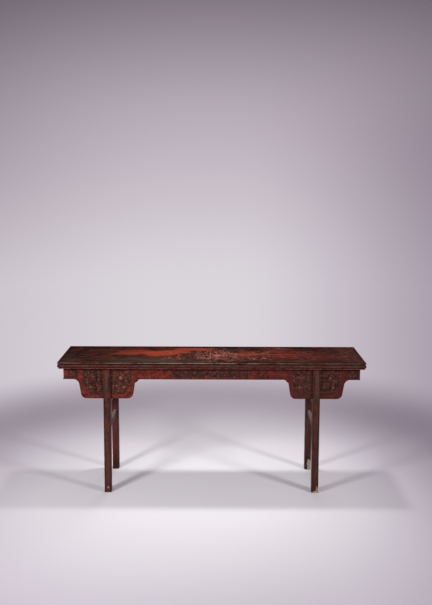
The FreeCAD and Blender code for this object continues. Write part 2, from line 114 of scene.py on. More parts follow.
@dataclass(frozen=True)
class Pigments:
    """The colours that the lacquerer laid on, and what shows where they wore off."""

    vermilion: Colour = pigment("96371F")
    orange_red: Colour = pigment("8C3521")
    crimson: Colour = pigment("6E2825")
    russet: Colour = pigment("66301F")
    red_brown: Colour = pigment("4E241A")
    purple_brown: Colour = pigment("402A2A")
    dark_brown: Colour = pigment("2E1710")
    black: Colour = pigment("1A0E09")
    olive: Colour = pigment("3A2E24")
    grey_olive: Colour = pigment("4A3D33")
    gilt: Colour = pigment("80532F")
    pink: Colour = pigment("904B45")
    pale_pink: Colour = pigment("AD7460")
    leaf: Colour = pigment("4C4934")
    pale_ground: Colour = pigment("AC9684")
    bare_wood: Colour = pigment("6A4A34")
    shadow_wood: Colour = pigment("261A12")
    dust_and_sheen: Colour = pigment("A39488")


PAINT = Pigments()


def sign(operation: str, swapped: bool = False) -> Callable[["Signal", "Signal | float"], "Signal"]:
    """Makes the method that stands behind one sign between two values.

    Args:
        operation: the Math node's operation.
        swapped: whether the other value stands first.

    Returns:
        The method.
    """

    def work_out(self: "Signal", other: "Signal | float") -> "Signal":
        """Works out one sign between this value and another."""
        pair = (other, self) if swapped else (self, other)
        return self.bench.maths(operation, *pair)

    return work_out


class Signal:
    """A number, colour or vector that changes over a surface, held as a socket."""

    __add__ = sign("ADD")
    __radd__ = sign("ADD", swapped=True)
    __sub__ = sign("SUBTRACT")
    __rsub__ = sign("SUBTRACT", swapped=True)
    __mul__ = sign("MULTIPLY")
    __rmul__ = sign("MULTIPLY", swapped=True)
    __truediv__ = sign("DIVIDE")
    __rtruediv__ = sign("DIVIDE", swapped=True)
    at_least = sign("MAXIMUM")
    at_most = sign("MINIMUM")
    over = sign("GREATER_THAN")

    def __init__(self, bench: "Bench", socket: bpy.types.NodeSocket) -> None:
        """Keeps the socket, and the bench whose nodes it belongs to."""
        self.bench = bench
        self.socket = socket

    def sine(self) -> "Signal":
        """The sine of an angle in radians."""
        return self.bench.maths("SINE", self)

    def size(self) -> "Signal":
        """The value without its sign."""
        return self.bench.maths("ABSOLUTE", self)

    def rise(self, start: float, end: float) -> "Signal":
        """Climbs smoothly from nought at start to one at end; end may be the lower."""
        sockets = {"Value": self, "From Min": start, "From Max": end}
        return self.bench.take(
            "ShaderNodeMapRange", "Result", {"interpolation_type": "SMOOTHSTEP"}, sockets
        )


Coat = tuple[Signal | float, Signal | Colour]


class Bench:
    """The node tree of one finish, with the few kinds of node that the finishes need."""

    def __init__(self, owner: Material | bpy.types.World, place: str = "Object") -> None:
        """Starts an empty tree.

        Args:
            owner: the new material or world.
            place: the output of Texture Coordinate that says where a point is.
        """
        self.owner = owner
        owner.use_nodes = True
        self.tree = owner.node_tree
        self.tree.nodes.clear()
        self.place = self.take("ShaderNodeTexCoord", place)
        self.x, self.y, self.z = self.parts(self.place)

    @classmethod
    def for_finish(cls, name: str) -> "Bench":
        """Starts the tree of a new material."""
        return cls(bpy.data.materials.new(name))

    def node(
        self, kind: str, settings: Values | None = None, sockets: Values | None = None
    ) -> bpy.types.Node:
        """Adds a node.

        Args:
            kind: Blender's name of the node's type.
            settings: the node's own settings, set first.
            sockets: a number, a colour or a signal for each input, by its identifier.

        Returns:
            The node.
        """
        made = self.tree.nodes.new(kind)
        for name, value in (settings or {}).items():
            setattr(made, name, value)
        for name, value in (sockets or {}).items():
            socket = next(one for one in made.inputs if one.identifier == name)
            if isinstance(value, Signal):
                self.tree.links.new(value.socket, socket)
            else:
                socket.default_value = value
        return made

    def outputs(self, node: bpy.types.Node, *names: str) -> list[Signal]:
        """The outputs of a node that have these names."""
        return [Signal(self, node.outputs[name]) for name in names]

    def take(
        self, kind: str, output: str, settings: Values | None = None, sockets: Values | None = None
    ) -> Signal:
        """Adds a node and gives the output that has this identifier."""
        made = self.node(kind, settings, sockets)
        return Signal(self, next(one for one in made.outputs if one.identifier == output))

    def maths(self, operation: str, *values: Signal | float) -> Signal:
        """One Math node on one or two values."""
        sockets = dict(zip(("Value", "Value_001"), values))
        return self.take("ShaderNodeMath", "Value", {"operation": operation}, sockets)

    def vector_maths(self, operation: str, first: Signal, second: Signal | Triple) -> Signal:
        """One Vector Math node that gives a vector."""
        sockets = {"Vector": first, "Vector_001": second}
        return self.take("ShaderNodeVectorMath", "Vector", {"operation": operation}, sockets)

    def length(self, vector: Signal) -> Signal:
        """How long a vector is."""
        return self.take("ShaderNodeVectorMath", "Value", {"operation": "LENGTH"}, {"Vector": vector})

    def parts(self, vector: Signal) -> list[Signal]:
        """A vector's three numbers."""
        return self.outputs(self.node("ShaderNodeSeparateXYZ", sockets={"Vector": vector}), "X", "Y", "Z")

    def point(self, across: Signal, up: Signal) -> Signal:
        """A point of a flat pattern."""
        return self.take("ShaderNodeCombineXYZ", "Vector", sockets={"X": across, "Y": up})

    def facing(self) -> list[Signal]:
        """The three parts of the direction that the surface faces."""
        return self.parts(self.take("ShaderNodeNewGeometry", "Normal"))

    def noise(
        self, stretch: Triple | float, detail: float = 4, rough: float = 0.55, swirl: float = 0
    ) -> Signal:
        """Cloudy noise.

        Args:
            stretch: waves per metre along x, y and z, or one number for all three.
            detail: how many finer layers are added.
            rough: how strong the finer layers are.
            swirl: how far the noise is pushed about by itself.

        Returns:
            A value that stays mostly between 0.3 and 0.7.
        """
        scales = (stretch,) * 3 if isinstance(stretch, (int, float)) else stretch
        sockets = {
            "Vector": self.vector_maths("MULTIPLY", self.place, scales),
            "Scale": 1.0,
            "Detail": detail,
            "Roughness": rough,
            "Distortion": swirl,
        }
        return self.take("ShaderNodeTexNoise", "Fac", {"noise_dimensions": "3D"}, sockets)

    def crackle(self, pitch: float) -> Signal:
        """The net of fine cracks of old lacquer.

        Args:
            pitch: how far apart the cracks are, in metres.

        Returns:
            One on a crack, and nought between.
        """
        sockets = {"Vector": self.place, "Scale": 1 / pitch}
        edge = self.take("ShaderNodeTexVoronoi", "Distance", {"feature": "DISTANCE_TO_EDGE"}, sockets)
        return edge.rise(CRACK_WIDTH, 0.0)

    def mix(self, share: Signal | float, first: Signal | Colour, second: Signal | Colour) -> Signal:
        """Lays the second colour over the first by a share from nought to one."""
        sockets = {"Factor_Float": share, "A_Color": first, "B_Color": second}
        return self.take("ShaderNodeMix", "Result_Color", {"data_type": "RGBA"}, sockets)

    def coats(self, ground: Signal | Colour, *coats: Coat) -> Signal:
        """Lays coats one over another.

        Args:
            ground: the colour below them all.
            coats: for each, the share of the surface that it covers, and its colour.

        Returns:
            The colour that shows.
        """
        for share, colour in coats:
            ground = self.mix(share, ground, colour)
        return ground

    def under_top(self) -> Signal:
        """Painted shade below the top frame: one right under it, and nought 15 mm lower."""
        return self.z.rise(CARCASE_TOP - 15 * MM, CARCASE_TOP)

    def close(
        self, colour: Signal, gloss: Signal, height: Signal, depth: float, shine: float = 0.14
    ) -> Material:
        """Ends the finish with its shader.

        Args:
            colour: the surface's colour.
            gloss: its roughness.
            height: its small relief, about nought to one.
            depth: how deep a step of one in that relief is, in metres.
            shine: how much the bare surface mirrors.

        Returns:
            The finished material.
        """
        relief = {"Strength": 1.0, "Distance": depth, "Height": height}
        sockets = {
            "Base Color": colour,
            "Roughness": gloss,
            "Specular IOR Level": shine,
            "Normal": self.take("ShaderNodeBump", "Normal", sockets=relief),
        }
        shader = self.take("ShaderNodeBsdfPrincipled", "BSDF", sockets=sockets)
        self.node("ShaderNodeOutputMaterial", sockets={"Surface": shader})
        return self.owner

    def seen(self) -> Signal:
        """Tells the rays that look at the scene from those that light it.

        Returns:
            One for rays that look straight, by gloss or through glass, and nought for the rest.
        """
        rays = self.node("ShaderNodeLightPath")
        straight, glossy, through = self.outputs(
            rays, "Is Camera Ray", "Is Glossy Ray", "Is Transmission Ray"
        )
        return straight.at_least(glossy).at_least(through)


@dataclass(frozen=True)
class ScrollField:
    """A painted field of spiral vines, one to a cell, each round a small flower."""

    pitch: float
    turns: float
    flower_share: float
    irregularity: float = 0.8
    petals: int = 5
    lobe: float = 0.05
    blur: float = 0.03

    def draw(self, bench: Bench, across: Signal, up: Signal) -> tuple[Signal, Signal, Signal, Signal]:
        """Draws the field.

        Args:
            bench: the finish that it is drawn in.
            across: the first axis of the pattern, in metres.
            up: the second axis.

        Returns:
            The vine, the flowers, the flowers' centres, and a number of its own for each cell.
        """
        spot = bench.point(across / self.pitch, up / self.pitch)
        cells = bench.node(
            "ShaderNodeTexVoronoi",
            {"voronoi_dimensions": "2D"},
            {"Vector": spot, "Scale": 1.0, "Randomness": self.irregularity},
        )
        centre, radius, lots = bench.outputs(cells, "Position", "Distance", "Color")
        lot, other_lot, _ = bench.parts(lots)
        away_x, away_y, _ = bench.parts(bench.vector_maths("SUBTRACT", spot, centre))
        angle = bench.maths("ARCTAN2", away_y, away_x)
        hand = other_lot.over(0.5) * 2 - 1
        start = lot * FULL_TURN
        spiral = (angle * hand + radius * (self.turns * FULL_TURN) + start).sine()
        vine = spiral.rise(0.35, 0.75) * radius.rise(0.62, 0.5)
        lobes = (angle * self.petals + start).sine() * self.lobe
        petals = (radius - lobes).rise(self.flower_share + self.blur, self.flower_share - self.blur)
        flower = petals * other_lot.rise(0.25, 0.3)
        heart = radius.rise(self.flower_share * 0.45, self.flower_share * 0.3) * flower
        return vine, flower, heart, lot


@dataclass(frozen=True)
class Oval:
    """A soft oval on a surface, full at its centre and nought at its rim, in metres."""

    across: float
    up: float
    reach_across: float
    reach_up: float
    strength: float = 1.0

    def laid(self, bench: Bench, across: Signal, up: Signal) -> Signal:
        """The oval's strength at a point of the surface."""
        spot = bench.point((across - self.across) / self.reach_across, (up - self.up) / self.reach_up)
        return bench.length(spot).rise(1.0, 0.0) * self.strength


@dataclass(frozen=True)
class TopMarks:
    """The marks of brush and use on the top: wide and narrow streaks, blotches and fine grain."""

    streaks: Signal
    strands: Signal
    clouds: Signal
    fine: Signal


class Finish:
    """A finish of the table."""

    def dress(self) -> Material:
        """Mixes the finish."""
        raise NotImplementedError


@dataclass(frozen=True)
class TopLacquer(Finish):
    """The painted top: red rubbed through dark olive, a medallion, scrolls, and the moulded edge."""

    half_length: float = 0.925
    half_depth: float = 0.2125
    lip_width: float = 5 * MM
    lip_top: float = 0.825
    field_height: float = 0.819
    waist_top: float = 0.813
    waist_low: float = 0.808
    band_low: float = 0.787
    scrolls: ScrollField = ScrollField(0.040, turns=1.7, flower_share=0.14)
    scroll_area: Oval = Oval(0.02, -0.02, 0.34, 0.24)
    black_patch: Oval = Oval(0.60, 0.17, 0.16, 0.07, 0.8)
    olive_patches: tuple[Oval, ...] = (
        Oval(-0.36, -0.14, 0.50, 0.15),
        Oval(-0.88, -0.14, 0.12, 0.10),
        Oval(0.60, -0.15, 0.42, 0.11, 0.5),
    )
    # ovals of rubbing through the dark coat, partly wear and partly a painted pool of light that leaves the
    # ends darker than the middle
    rubs_and_light_pool: tuple[Oval, ...] = (
        Oval(-0.28, 0.05, 0.19, 0.14, 1.5),
        Oval(-0.52, 0.08, 0.26, 0.12, 0.8),
        Oval(-0.82, 0.06, 0.20, 0.14, -0.1),
        Oval(0.03, -0.01, 0.22, 0.19, 0.2),
        Oval(-0.14, 0.17, 0.30, 0.07, 1.1),
        Oval(0.22, 0.02, 0.17, 0.16, 0.5),
        Oval(0.42, 0.05, 0.20, 0.10, 0.35),
        Oval(0.33, 0.13, 0.14, 0.09, -0.8),
        Oval(-0.38, -0.15, 0.36, 0.11, -0.9),
        Oval(0.62, 0.18, 0.32, 0.07, -0.9),
        Oval(0.32, -0.16, 0.26, 0.08, -0.5),
        Oval(0.92, 0.0, 0.14, 0.30, -0.3),
    )

    def redness(self, bench: Bench, marks: TopMarks) -> Signal:
        """How far use has rubbed the dark coat through to the red, together with painted light that keeps
        the ends darker than the middle.

        Args:
            bench: the finish.
            marks: its marks of brush and use.

        Returns:
            About nought where the dark coat is whole, and one where it is gone.
        """
        x = bench.x + (bench.noise((3.2, 9, 9), detail=3) - 0.5) * 0.3
        y = bench.y + (bench.noise((2.1, 5, 5), detail=2) - 0.5) * 0.12
        total = (marks.streaks - 0.5) * 2.0 + (marks.strands - 0.5) * 1.5 + (marks.clouds - 0.5) * 0.8
        for rub in self.rubs_and_light_pool:
            total = total + rub.laid(bench, x, y)
        return total

    def dark_coat(self, bench: Bench, marks: TopMarks) -> Signal:
        """Paints the dark coat, browner and more mottled to the right.

        Args:
            bench: the finish.
            marks: its marks of brush and use.

        Returns:
            The coat's colour.
        """
        x, y, clouds = bench.x, bench.y, marks.clouds
        olive = self.olive_patches[0].laid(bench, x, y)
        for oval in self.olive_patches[1:]:
            olive = olive.at_least(oval.laid(bench, x, y))
        dabs = bench.noise((40, 90, 90), detail=4, rough=0.7)
        mottles = bench.noise((24, 60, 60), detail=5, rough=0.7).rise(0.48, 0.56)
        mottles = mottles * marks.streaks.rise(0.38, 0.52) * x.rise(0.25, 0.4) * y.rise(-0.17, -0.08)
        specks = bench.noise(240, detail=2).rise(0.54, 0.64) * x.rise(0.76, 0.88)
        return bench.coats(
            PAINT.black,
            (clouds.rise(0.42, 0.66), PAINT.red_brown),
            (marks.strands.rise(0.5, 0.62) * 0.5, PAINT.dark_brown),
            (
                olive * marks.strands.rise(0.38, 0.5),
                bench.mix(clouds.rise(0.38, 0.6), PAINT.olive, PAINT.grey_olive),
            ),
            (
                x.rise(0.3, 0.7) * 0.65,
                bench.mix(clouds.rise(0.4, 0.6), PAINT.red_brown, PAINT.purple_brown),
            ),
            (dabs.rise(0.52, 0.6) * 0.35, PAINT.grey_olive),
            (dabs.rise(0.46, 0.38) * 0.4, PAINT.red_brown),
            (x.rise(0.2, 0.7) * 0.5, PAINT.black),
            (mottles * 0.6, bench.mix(x.rise(0.5, 0.8), PAINT.orange_red, PAINT.crimson)),
            (self.black_patch.laid(bench, x, y), PAINT.black),
            (specks * 0.18, PAINT.pale_ground),
        )

    def red_coat(self, bench: Bench, fine: Signal, redness: Signal) -> Signal:
        """Paints the red below the dark coat, brightest where it is most rubbed."""
        deeper = (fine.rise(0.46, 0.66) * 0.5).at_least(bench.y.rise(0.1, 0.17) * 0.6)
        return bench.coats(
            PAINT.orange_red, (redness.rise(0.5, 1.2), PAINT.vermilion), (deeper, PAINT.crimson)
        )

    def band(self, bench: Bench, fine: Signal) -> Signal:
        """Paints the moulded edge below the lip.

        Args:
            bench: the finish.
            fine: its fine grain.

        Returns:
            The edge's colour.
        """
        z = bench.z
        segments = bench.noise((11, 11, 1), detail=2)
        mottles = bench.noise((34, 34, 90), detail=4)
        low_bead = z.rise(self.band_low + 0.5 * MM, self.band_low - 0.5 * MM)
        waist = z.rise(self.waist_top + 0.6 * MM, self.waist_top)
        waist = waist * z.rise(self.waist_low - 0.5 * MM, self.waist_low + 0.5 * MM)
        return bench.coats(
            PAINT.red_brown,
            (segments.rise(0.45, 0.53) * 0.85, PAINT.grey_olive),
            (mottles.rise(0.5, 0.6) * 0.5, PAINT.crimson),
            (mottles.rise(0.48, 0.38) * 0.7, PAINT.dark_brown),
            (0.25, PAINT.grey_olive),
            (bench.x.rise(-0.88, -0.92), PAINT.purple_brown),
            (fine.rise(0.48, 0.64) * 0.4, PAINT.pink),
            (low_bead * 0.7, bench.mix(mottles.rise(0.42, 0.55), PAINT.crimson, PAINT.pink)),
            (waist * 0.75, PAINT.black),
        )

    def worn_and_highlit_lip(self, bench: Bench) -> Signal:
        """Finds the pale line on the raised lip, mostly left of the middle: partly wear to its pale ground,
        partly a painted highlight.

        Args:
            bench: the finish.

        Returns:
            The share of the lip that shows pale, by wear and by painted highlight.
        """
        x, z = bench.x, bench.z
        beyond = (x.size() - self.half_length).at_least(bench.y.size() - self.half_depth)
        lip = beyond.rise(-self.lip_width, 0.5 * MM - self.lip_width)
        lip = lip * z.rise(self.waist_top + 0.5 * MM, self.waist_top + 2 * MM)
        lip = lip * z.rise(self.lip_top - 2.5 * MM, self.lip_top - 4.5 * MM)
        worn = bench.noise(7, detail=5, rough=0.7).rise(0.36, 0.6)
        return lip * worn * (0.26 + x.rise(0.55, 0.3) * x.rise(-0.75, -0.3) * 0.38)

    def dress(self) -> Material:
        """Builds the finish.

        Returns:
            The new material.
        """
        bench = Bench.for_finish("top_lacquer_painted")
        x, y, z = bench.x, bench.y, bench.z
        streaks = bench.noise((2.4, 26, 26), detail=5, rough=0.6)
        strands = bench.noise((5.0, 170, 170), detail=4, rough=0.6)
        clouds = bench.noise((16, 30, 30), detail=6, rough=0.66, swirl=0.4)
        fine = bench.noise((110, 260, 260), detail=3, rough=0.6)
        marks = TopMarks(streaks, strands, clouds, fine)
        redness = self.redness(bench, marks)
        vine, flower, heart, lot = self.scrolls.draw(bench, x, y)
        kept = clouds.rise(0.38, 0.52)
        painted = self.scroll_area.laid(bench, x, y).rise(0.1, 0.45) * kept
        painted = painted.at_least(bench.noise(9, detail=3).rise(0.5, 0.62) * kept * 0.5)
        _, _, up = bench.facing()
        cracks = bench.crackle(5 * MM) * clouds.rise(0.45, 0.6)
        colour = bench.coats(
            self.dark_coat(bench, marks),
            (redness.rise(0.25, 0.75), self.red_coat(bench, fine, redness)),
            (vine * painted * 0.45, bench.mix(x.rise(-0.07, -0.11), PAINT.pale_pink, PAINT.olive)),
            (flower * painted * 0.6, bench.mix(lot, PAINT.crimson, PAINT.pink)),
            (heart * painted * 0.8, PAINT.gilt),
            (z.rise(self.field_height - 0.3 * MM, self.field_height - 1.5 * MM), self.band(bench, fine)),
            # the pale lip line is partly wear and partly a painted highlight
            (self.worn_and_highlit_lip(bench), PAINT.pale_ground),
            (up.rise(-0.3, -0.8), PAINT.shadow_wood),
            (cracks * 0.3, PAINT.black),
        )
        height = streaks * 0.5 + strands * 0.3 + fine * 0.35 - cracks * 0.4 + vine * painted * 0.25
        return bench.close(colour, 0.22 + clouds * 0.2, height, 0.25 * MM, shine=0.003)


@dataclass(frozen=True)
class PanelOutline:
    """A rounded outline on a spandrel, open at the top, in metres."""

    low: float
    half_low: float
    half_high: float
    corner: float
    centre: float = 0.6332
    high: float = 0.711

    def beyond(self, bench: Bench, across: Signal) -> Signal:
        """How far a point lies outside the outline.

        Args:
            bench: the finish.
            across: where the surface is, along the table's side.

        Returns:
            The distance in metres, below nought inside.
        """
        aside = (across.size() - self.centre).size()
        climb = bench.z.rise(self.low, self.high) * (self.half_high - self.half_low)
        over_side = aside - climb - (self.half_low - self.corner)
        under_foot = (self.low + self.corner) - bench.z
        outside = bench.length(bench.point(over_side.at_least(0.0), under_foot.at_least(0.0)))
        return outside + over_side.at_least(under_foot).at_most(0.0) - self.corner


@dataclass(frozen=True)
class CarcaseLacquer(Finish):
    """The aprons and spandrels: red lacquer with dark painted panels full of vines and flowers."""

    name: str = "carcase_lacquer_painted"
    bead: PanelOutline = PanelOutline(low=0.6085, half_low=0.141, half_high=0.152, corner=0.017)
    panel: PanelOutline = PanelOutline(low=0.6200, half_low=0.122, half_high=0.147, corner=0.026)
    cartouche_half: float = 0.235
    cartouche_middle: float = 0.7465
    cartouche_rise: float = 0.0225
    border: float = 0.0165
    neck: float = 0.7165
    scrolls: ScrollField = ScrollField(0.024, turns=1.9, flower_share=0.26)

    def cartouche(self, bench: Bench, across: Signal) -> Signal:
        """How far a point lies outside the apron's long cartouche.

        Args:
            bench: the finish.
            across: where the surface is, along the table's side.

        Returns:
            The distance in metres, below nought inside.
        """
        over_end = across.size() - (self.cartouche_half - self.cartouche_rise)
        over_side = (bench.z - self.cartouche_middle).size()
        return bench.length(bench.point(over_end.at_least(0.0), over_side)) - self.cartouche_rise

    def red_coat(self, bench: Bench, streaks: Signal, clouds: Signal) -> Signal:
        """Paints the red coat, with painted shade that darkens it towards the right end."""
        x = bench.x
        return bench.coats(
            PAINT.crimson,
            (streaks.rise(0.36, 0.62), PAINT.orange_red),
            (streaks.rise(0.56, 0.68) * 0.6, PAINT.vermilion),
            (x.rise(-0.2, 0.3) * 0.7, PAINT.crimson),
            # painted shade: the red darkens towards the right end, where less light falls
            (x.rise(0.3, 0.7) * 0.65, PAINT.red_brown),
            (x.rise(0.74, 0.86) * 0.7, PAINT.dark_brown),
            (clouds.rise(0.43, 0.58) * 0.8, PAINT.red_brown),
            (clouds.rise(0.56, 0.64) * 0.7, PAINT.dark_brown),
        )

    def dark_coat(self, bench: Bench, streaks: Signal, clouds: Signal, broad: Signal) -> Signal:
        """Paints the dark ground of the panels and cartouches."""
        aside = bench.x.size()
        return bench.coats(
            PAINT.black,
            (clouds.rise(0.42, 0.66), PAINT.grey_olive),
            (broad.rise(0.4, 0.6) * 0.75, PAINT.olive),
            (streaks.rise(0.48, 0.62) * 0.5, PAINT.red_brown),
            (aside.rise(0.60, 0.68) * aside.rise(0.9, 0.8) * 0.35, PAINT.black),
        )

    def in_dark(self, bench: Bench, across: Signal, on_end: Signal, clouds: Signal, broad: Signal) -> Signal:
        """Finds where the dark ground lies: panels, cartouches, and stray patches above the neck.

        Args:
            bench: the finish.
            across: where the surface is, along the table's side.
            on_end: one on the table's ends.
            clouds: the finish's blotches.
            broad: its larger blotches.

        Returns:
            One in the dark ground, and nought outside.
        """
        wobble = (clouds - 0.5) * 4 * MM
        ragged = wobble + (broad - 0.5) * 26 * MM
        panel = (self.panel.beyond(bench, across) + ragged).rise(1.5 * MM, -1.5 * MM) * (1 - on_end)
        cartouche = (self.cartouche(bench, across) + wobble).rise(0.8 * MM, -0.8 * MM)
        stray = (broad - bench.x.size().rise(0.7, 0.85) * 0.16).rise(0.44, 0.38) * 0.85
        over_neck = bench.z.rise(self.neck - 0.5 * MM, self.neck + 2.5 * MM)
        over_neck = over_neck * self.bead.beyond(bench, across).rise(self.border, self.border + 4 * MM)
        return panel.at_least(cartouche).at_least(stray * over_neck)

    def dress(self) -> Material:
        """Builds the finish.

        Returns:
            The new material.
        """
        bench = Bench.for_finish(self.name)
        x, y, z = bench.x, bench.y, bench.z
        out_x, out_y, _ = bench.facing()
        on_end = out_x.size().over(0.6)
        across = x + on_end * (y - x)
        streaks = bench.noise((5, 5, 60), detail=5, rough=0.62)
        clouds = bench.noise(38, detail=6, rough=0.66, swirl=0.5)
        broad = bench.noise(11, detail=3)
        fine = bench.noise(230, detail=3)
        vine, flower, heart, lot = self.scrolls.draw(bench, across, z)
        kept = clouds.rise(0.36, 0.5) * 0.6
        painted = bench.coats(
            self.dark_coat(bench, streaks, clouds, broad),
            (vine * kept, bench.mix(lot, PAINT.red_brown, PAINT.crimson)),
            (flower * kept, bench.mix(lot, PAINT.crimson, PAINT.pink)),
            (heart * kept, PAINT.gilt),
        )
        beyond = self.bead.beyond(bench, across)
        rim = beyond.rise(self.border - 3.5 * MM, self.border - 1 * MM)
        rim = rim * z.rise(self.neck - 1.5 * MM, self.neck - 4.5 * MM)
        foot_bead = beyond.rise(self.border, self.border + 2 * MM) * z.rise(self.neck + 1 * MM, self.neck)
        face = bench.coats(
            self.red_coat(bench, streaks, clouds),
            (vine * kept * 0.7, PAINT.dark_brown),
            (rim * 0.7, PAINT.dark_brown),
            (self.in_dark(bench, across, on_end, clouds, broad), painted),
            (foot_bead * 0.6, PAINT.crimson),
            (fine.rise(0.5, 0.7) * 0.35, PAINT.dark_brown),
            # painted shade under the overhang of the top frame
            (bench.under_top() * 0.75, PAINT.black),
        )
        outward = (out_y * y).over(0.1).at_least((out_x * x).over(0.3))
        cracks = bench.crackle(4 * MM) * clouds.rise(0.42, 0.58)
        colour = bench.coats(
            PAINT.dark_brown,
            (streaks.rise(0.4, 0.6), PAINT.red_brown),
            (outward, face),
            (cracks * 0.35, PAINT.black),
        )
        height = streaks * 0.35 + fine * 0.3 - cracks * 0.4 + vine * kept * 0.3
        return bench.close(colour, 0.34 + clouds * 0.28, height, 0.4 * MM)


@dataclass(frozen=True)
class LegLacquer(Finish):
    """The legs: olive and dark brown patches high up, plain red-brown below, losses at the feet."""

    foot_centre: float = 0.637
    head_centre: float = 0.632
    foot_half: float = 0.0205
    head_half: float = 0.02215
    head_height: float = 0.781
    quirk_share: float = 0.74
    front_losses: tuple[Oval, ...] = (
        Oval(0.650, 0.014, 0.015, 0.046),
        Oval(0.640, 0.000, 0.040, 0.020),
        Oval(-0.634, 0.032, 0.009, 0.015),
    )
    back_loss: Oval = Oval(0.646, 0.030, 0.026, 0.082)

    def aside(self, bench: Bench) -> Signal:
        """How far a point lies from a leg's middle line.

        Args:
            bench: the finish.

        Returns:
            The distance, as a share of the leg's half width at that height.
        """
        centre = self.foot_centre + bench.z * ((self.head_centre - self.foot_centre) / self.head_height)
        half = self.foot_half + bench.z * ((self.head_half - self.foot_half) / self.head_height)
        return ((bench.x.size() - centre) / half).size()

    def losses(self, bench: Bench, patches: Signal, fine: Signal) -> Signal:
        """How deep the coat is chipped at the feet.

        Args:
            bench: the finish.
            patches: its patches, which the chips follow.
            fine: its fine grain.

        Returns:
            Over about 0.4 where the coat is gone, with a dark rim round that.
        """
        x, y, z = bench.x, bench.y, bench.z
        loss = self.back_loss.laid(bench, x, z) * y.rise(0.0, 0.1)
        for oval in self.front_losses:
            loss = loss + oval.laid(bench, x, z) * y.rise(0.0, -0.1)
        return loss + (patches - 0.5) * 1.2 + (fine - 0.5) * 0.4

    def dress(self) -> Material:
        """Builds the finish.

        Returns:
            The new material.
        """
        bench = Bench.for_finish("leg_lacquer_worn")
        x, y, z = bench.x, bench.y, bench.z
        streaks = bench.noise((90, 90, 7), detail=5, rough=0.62)
        patches = bench.noise((44, 44, 24), detail=5, rough=0.68, swirl=0.4)
        fine = bench.noise(220, detail=3)
        on_back = y.rise(0.0, 0.1)
        aside = self.aside(bench)
        _, out_y, _ = bench.facing()
        on_face = (out_y * y).over(0.08)
        quirk = (aside - self.quirk_share).size().rise(0.09, 0.03) * on_face
        bead = aside.rise(self.quirk_share + 0.05, self.quirk_share + 0.1) * on_face
        loss = self.losses(bench, patches, fine)
        chipped = loss.rise(0.42, 0.5)
        spots = bench.noise((190, 190, 150), detail=2).rise(0.66, 0.72) * z.rise(0.2, 0.02)
        cracks = bench.crackle(5 * MM) * patches.rise(0.45, 0.6)
        colour = bench.coats(
            PAINT.dark_brown,
            (streaks.rise(0.36, 0.62), PAINT.red_brown),
            (patches.rise(0.46, 0.54) * 0.75, bench.mix(y.rise(-0.05, 0.05), PAINT.russet, PAINT.crimson)),
            (x.rise(-0.3, 0.3) * z.rise(0.7, 0.3) * 0.5, PAINT.dark_brown),
            (
                (patches - z.rise(0.25, 0.72) * 0.08).rise(0.47, 0.41),
                bench.mix(streaks.rise(0.40, 0.56), PAINT.dark_brown, PAINT.grey_olive),
            ),
            (fine.rise(0.5, 0.66) * 0.4, PAINT.grey_olive),
            (fine.rise(0.48, 0.36) * 0.3, PAINT.pink),
            (on_back * z.rise(0.42, 0.5) * 0.75, PAINT.black),
            (quirk * 0.75, PAINT.black),
            (bead * patches.rise(0.4, 0.52) * 0.3, PAINT.orange_red),
            # painted shade along the leg's outer edges, where the beads turn from the light
            (aside.rise(0.8, 1.0) * streaks.rise(0.3, 0.5) * 0.75, PAINT.black),
            (on_back * z.rise(0.13, 0.04) * 0.6, PAINT.black),
            (loss.rise(0.3, 0.4) * 0.6, PAINT.black),
            # painted shade under the overhang of the top frame
            (bench.under_top() * 0.7, PAINT.black),
            (chipped, bench.mix(fine.rise(0.34, 0.5), PAINT.bare_wood, PAINT.pale_ground)),
            (spots * 0.6, PAINT.gilt),
            (cracks * 0.4, PAINT.black),
        )
        height = streaks * 0.5 + fine * 0.3 - cracks * 0.4 - chipped * 0.8
        return bench.close(colour, 0.38 + patches * 0.28 + chipped * 0.3, height, 0.4 * MM)


@dataclass(frozen=True)
class PlainFinish(Finish):
    """The plain streaky finish of the stretchers and battens, its grain along the table's depth."""

    name: str
    light: Colour
    dark: Colour
    dust_and_sheen: float = 0.0
    stretch: Triple = (36.0, 3.0, 36.0)

    def dress(self) -> Material:
        """Builds the finish.

        Returns:
            The new material.
        """
        bench = Bench.for_finish(self.name)
        streaks = bench.noise(self.stretch, detail=6, rough=0.6)
        spots = bench.noise(120, detail=3)
        _, _, up = bench.facing()
        colour = bench.coats(
            self.dark,
            (streaks.rise(0.38, 0.62), self.light),
            (spots.rise(0.55, 0.7) * 0.4, PAINT.black),
            # upward faces pale: dust and a painted highlight from the light above
            (up.rise(0.35, 0.85) * streaks.rise(0.3, 0.5) * self.dust_and_sheen, PAINT.dust_and_sheen),
        )
        return bench.close(colour, 0.36 + streaks * 0.2, streaks * 0.6 + spots * 0.3, 0.4 * MM)


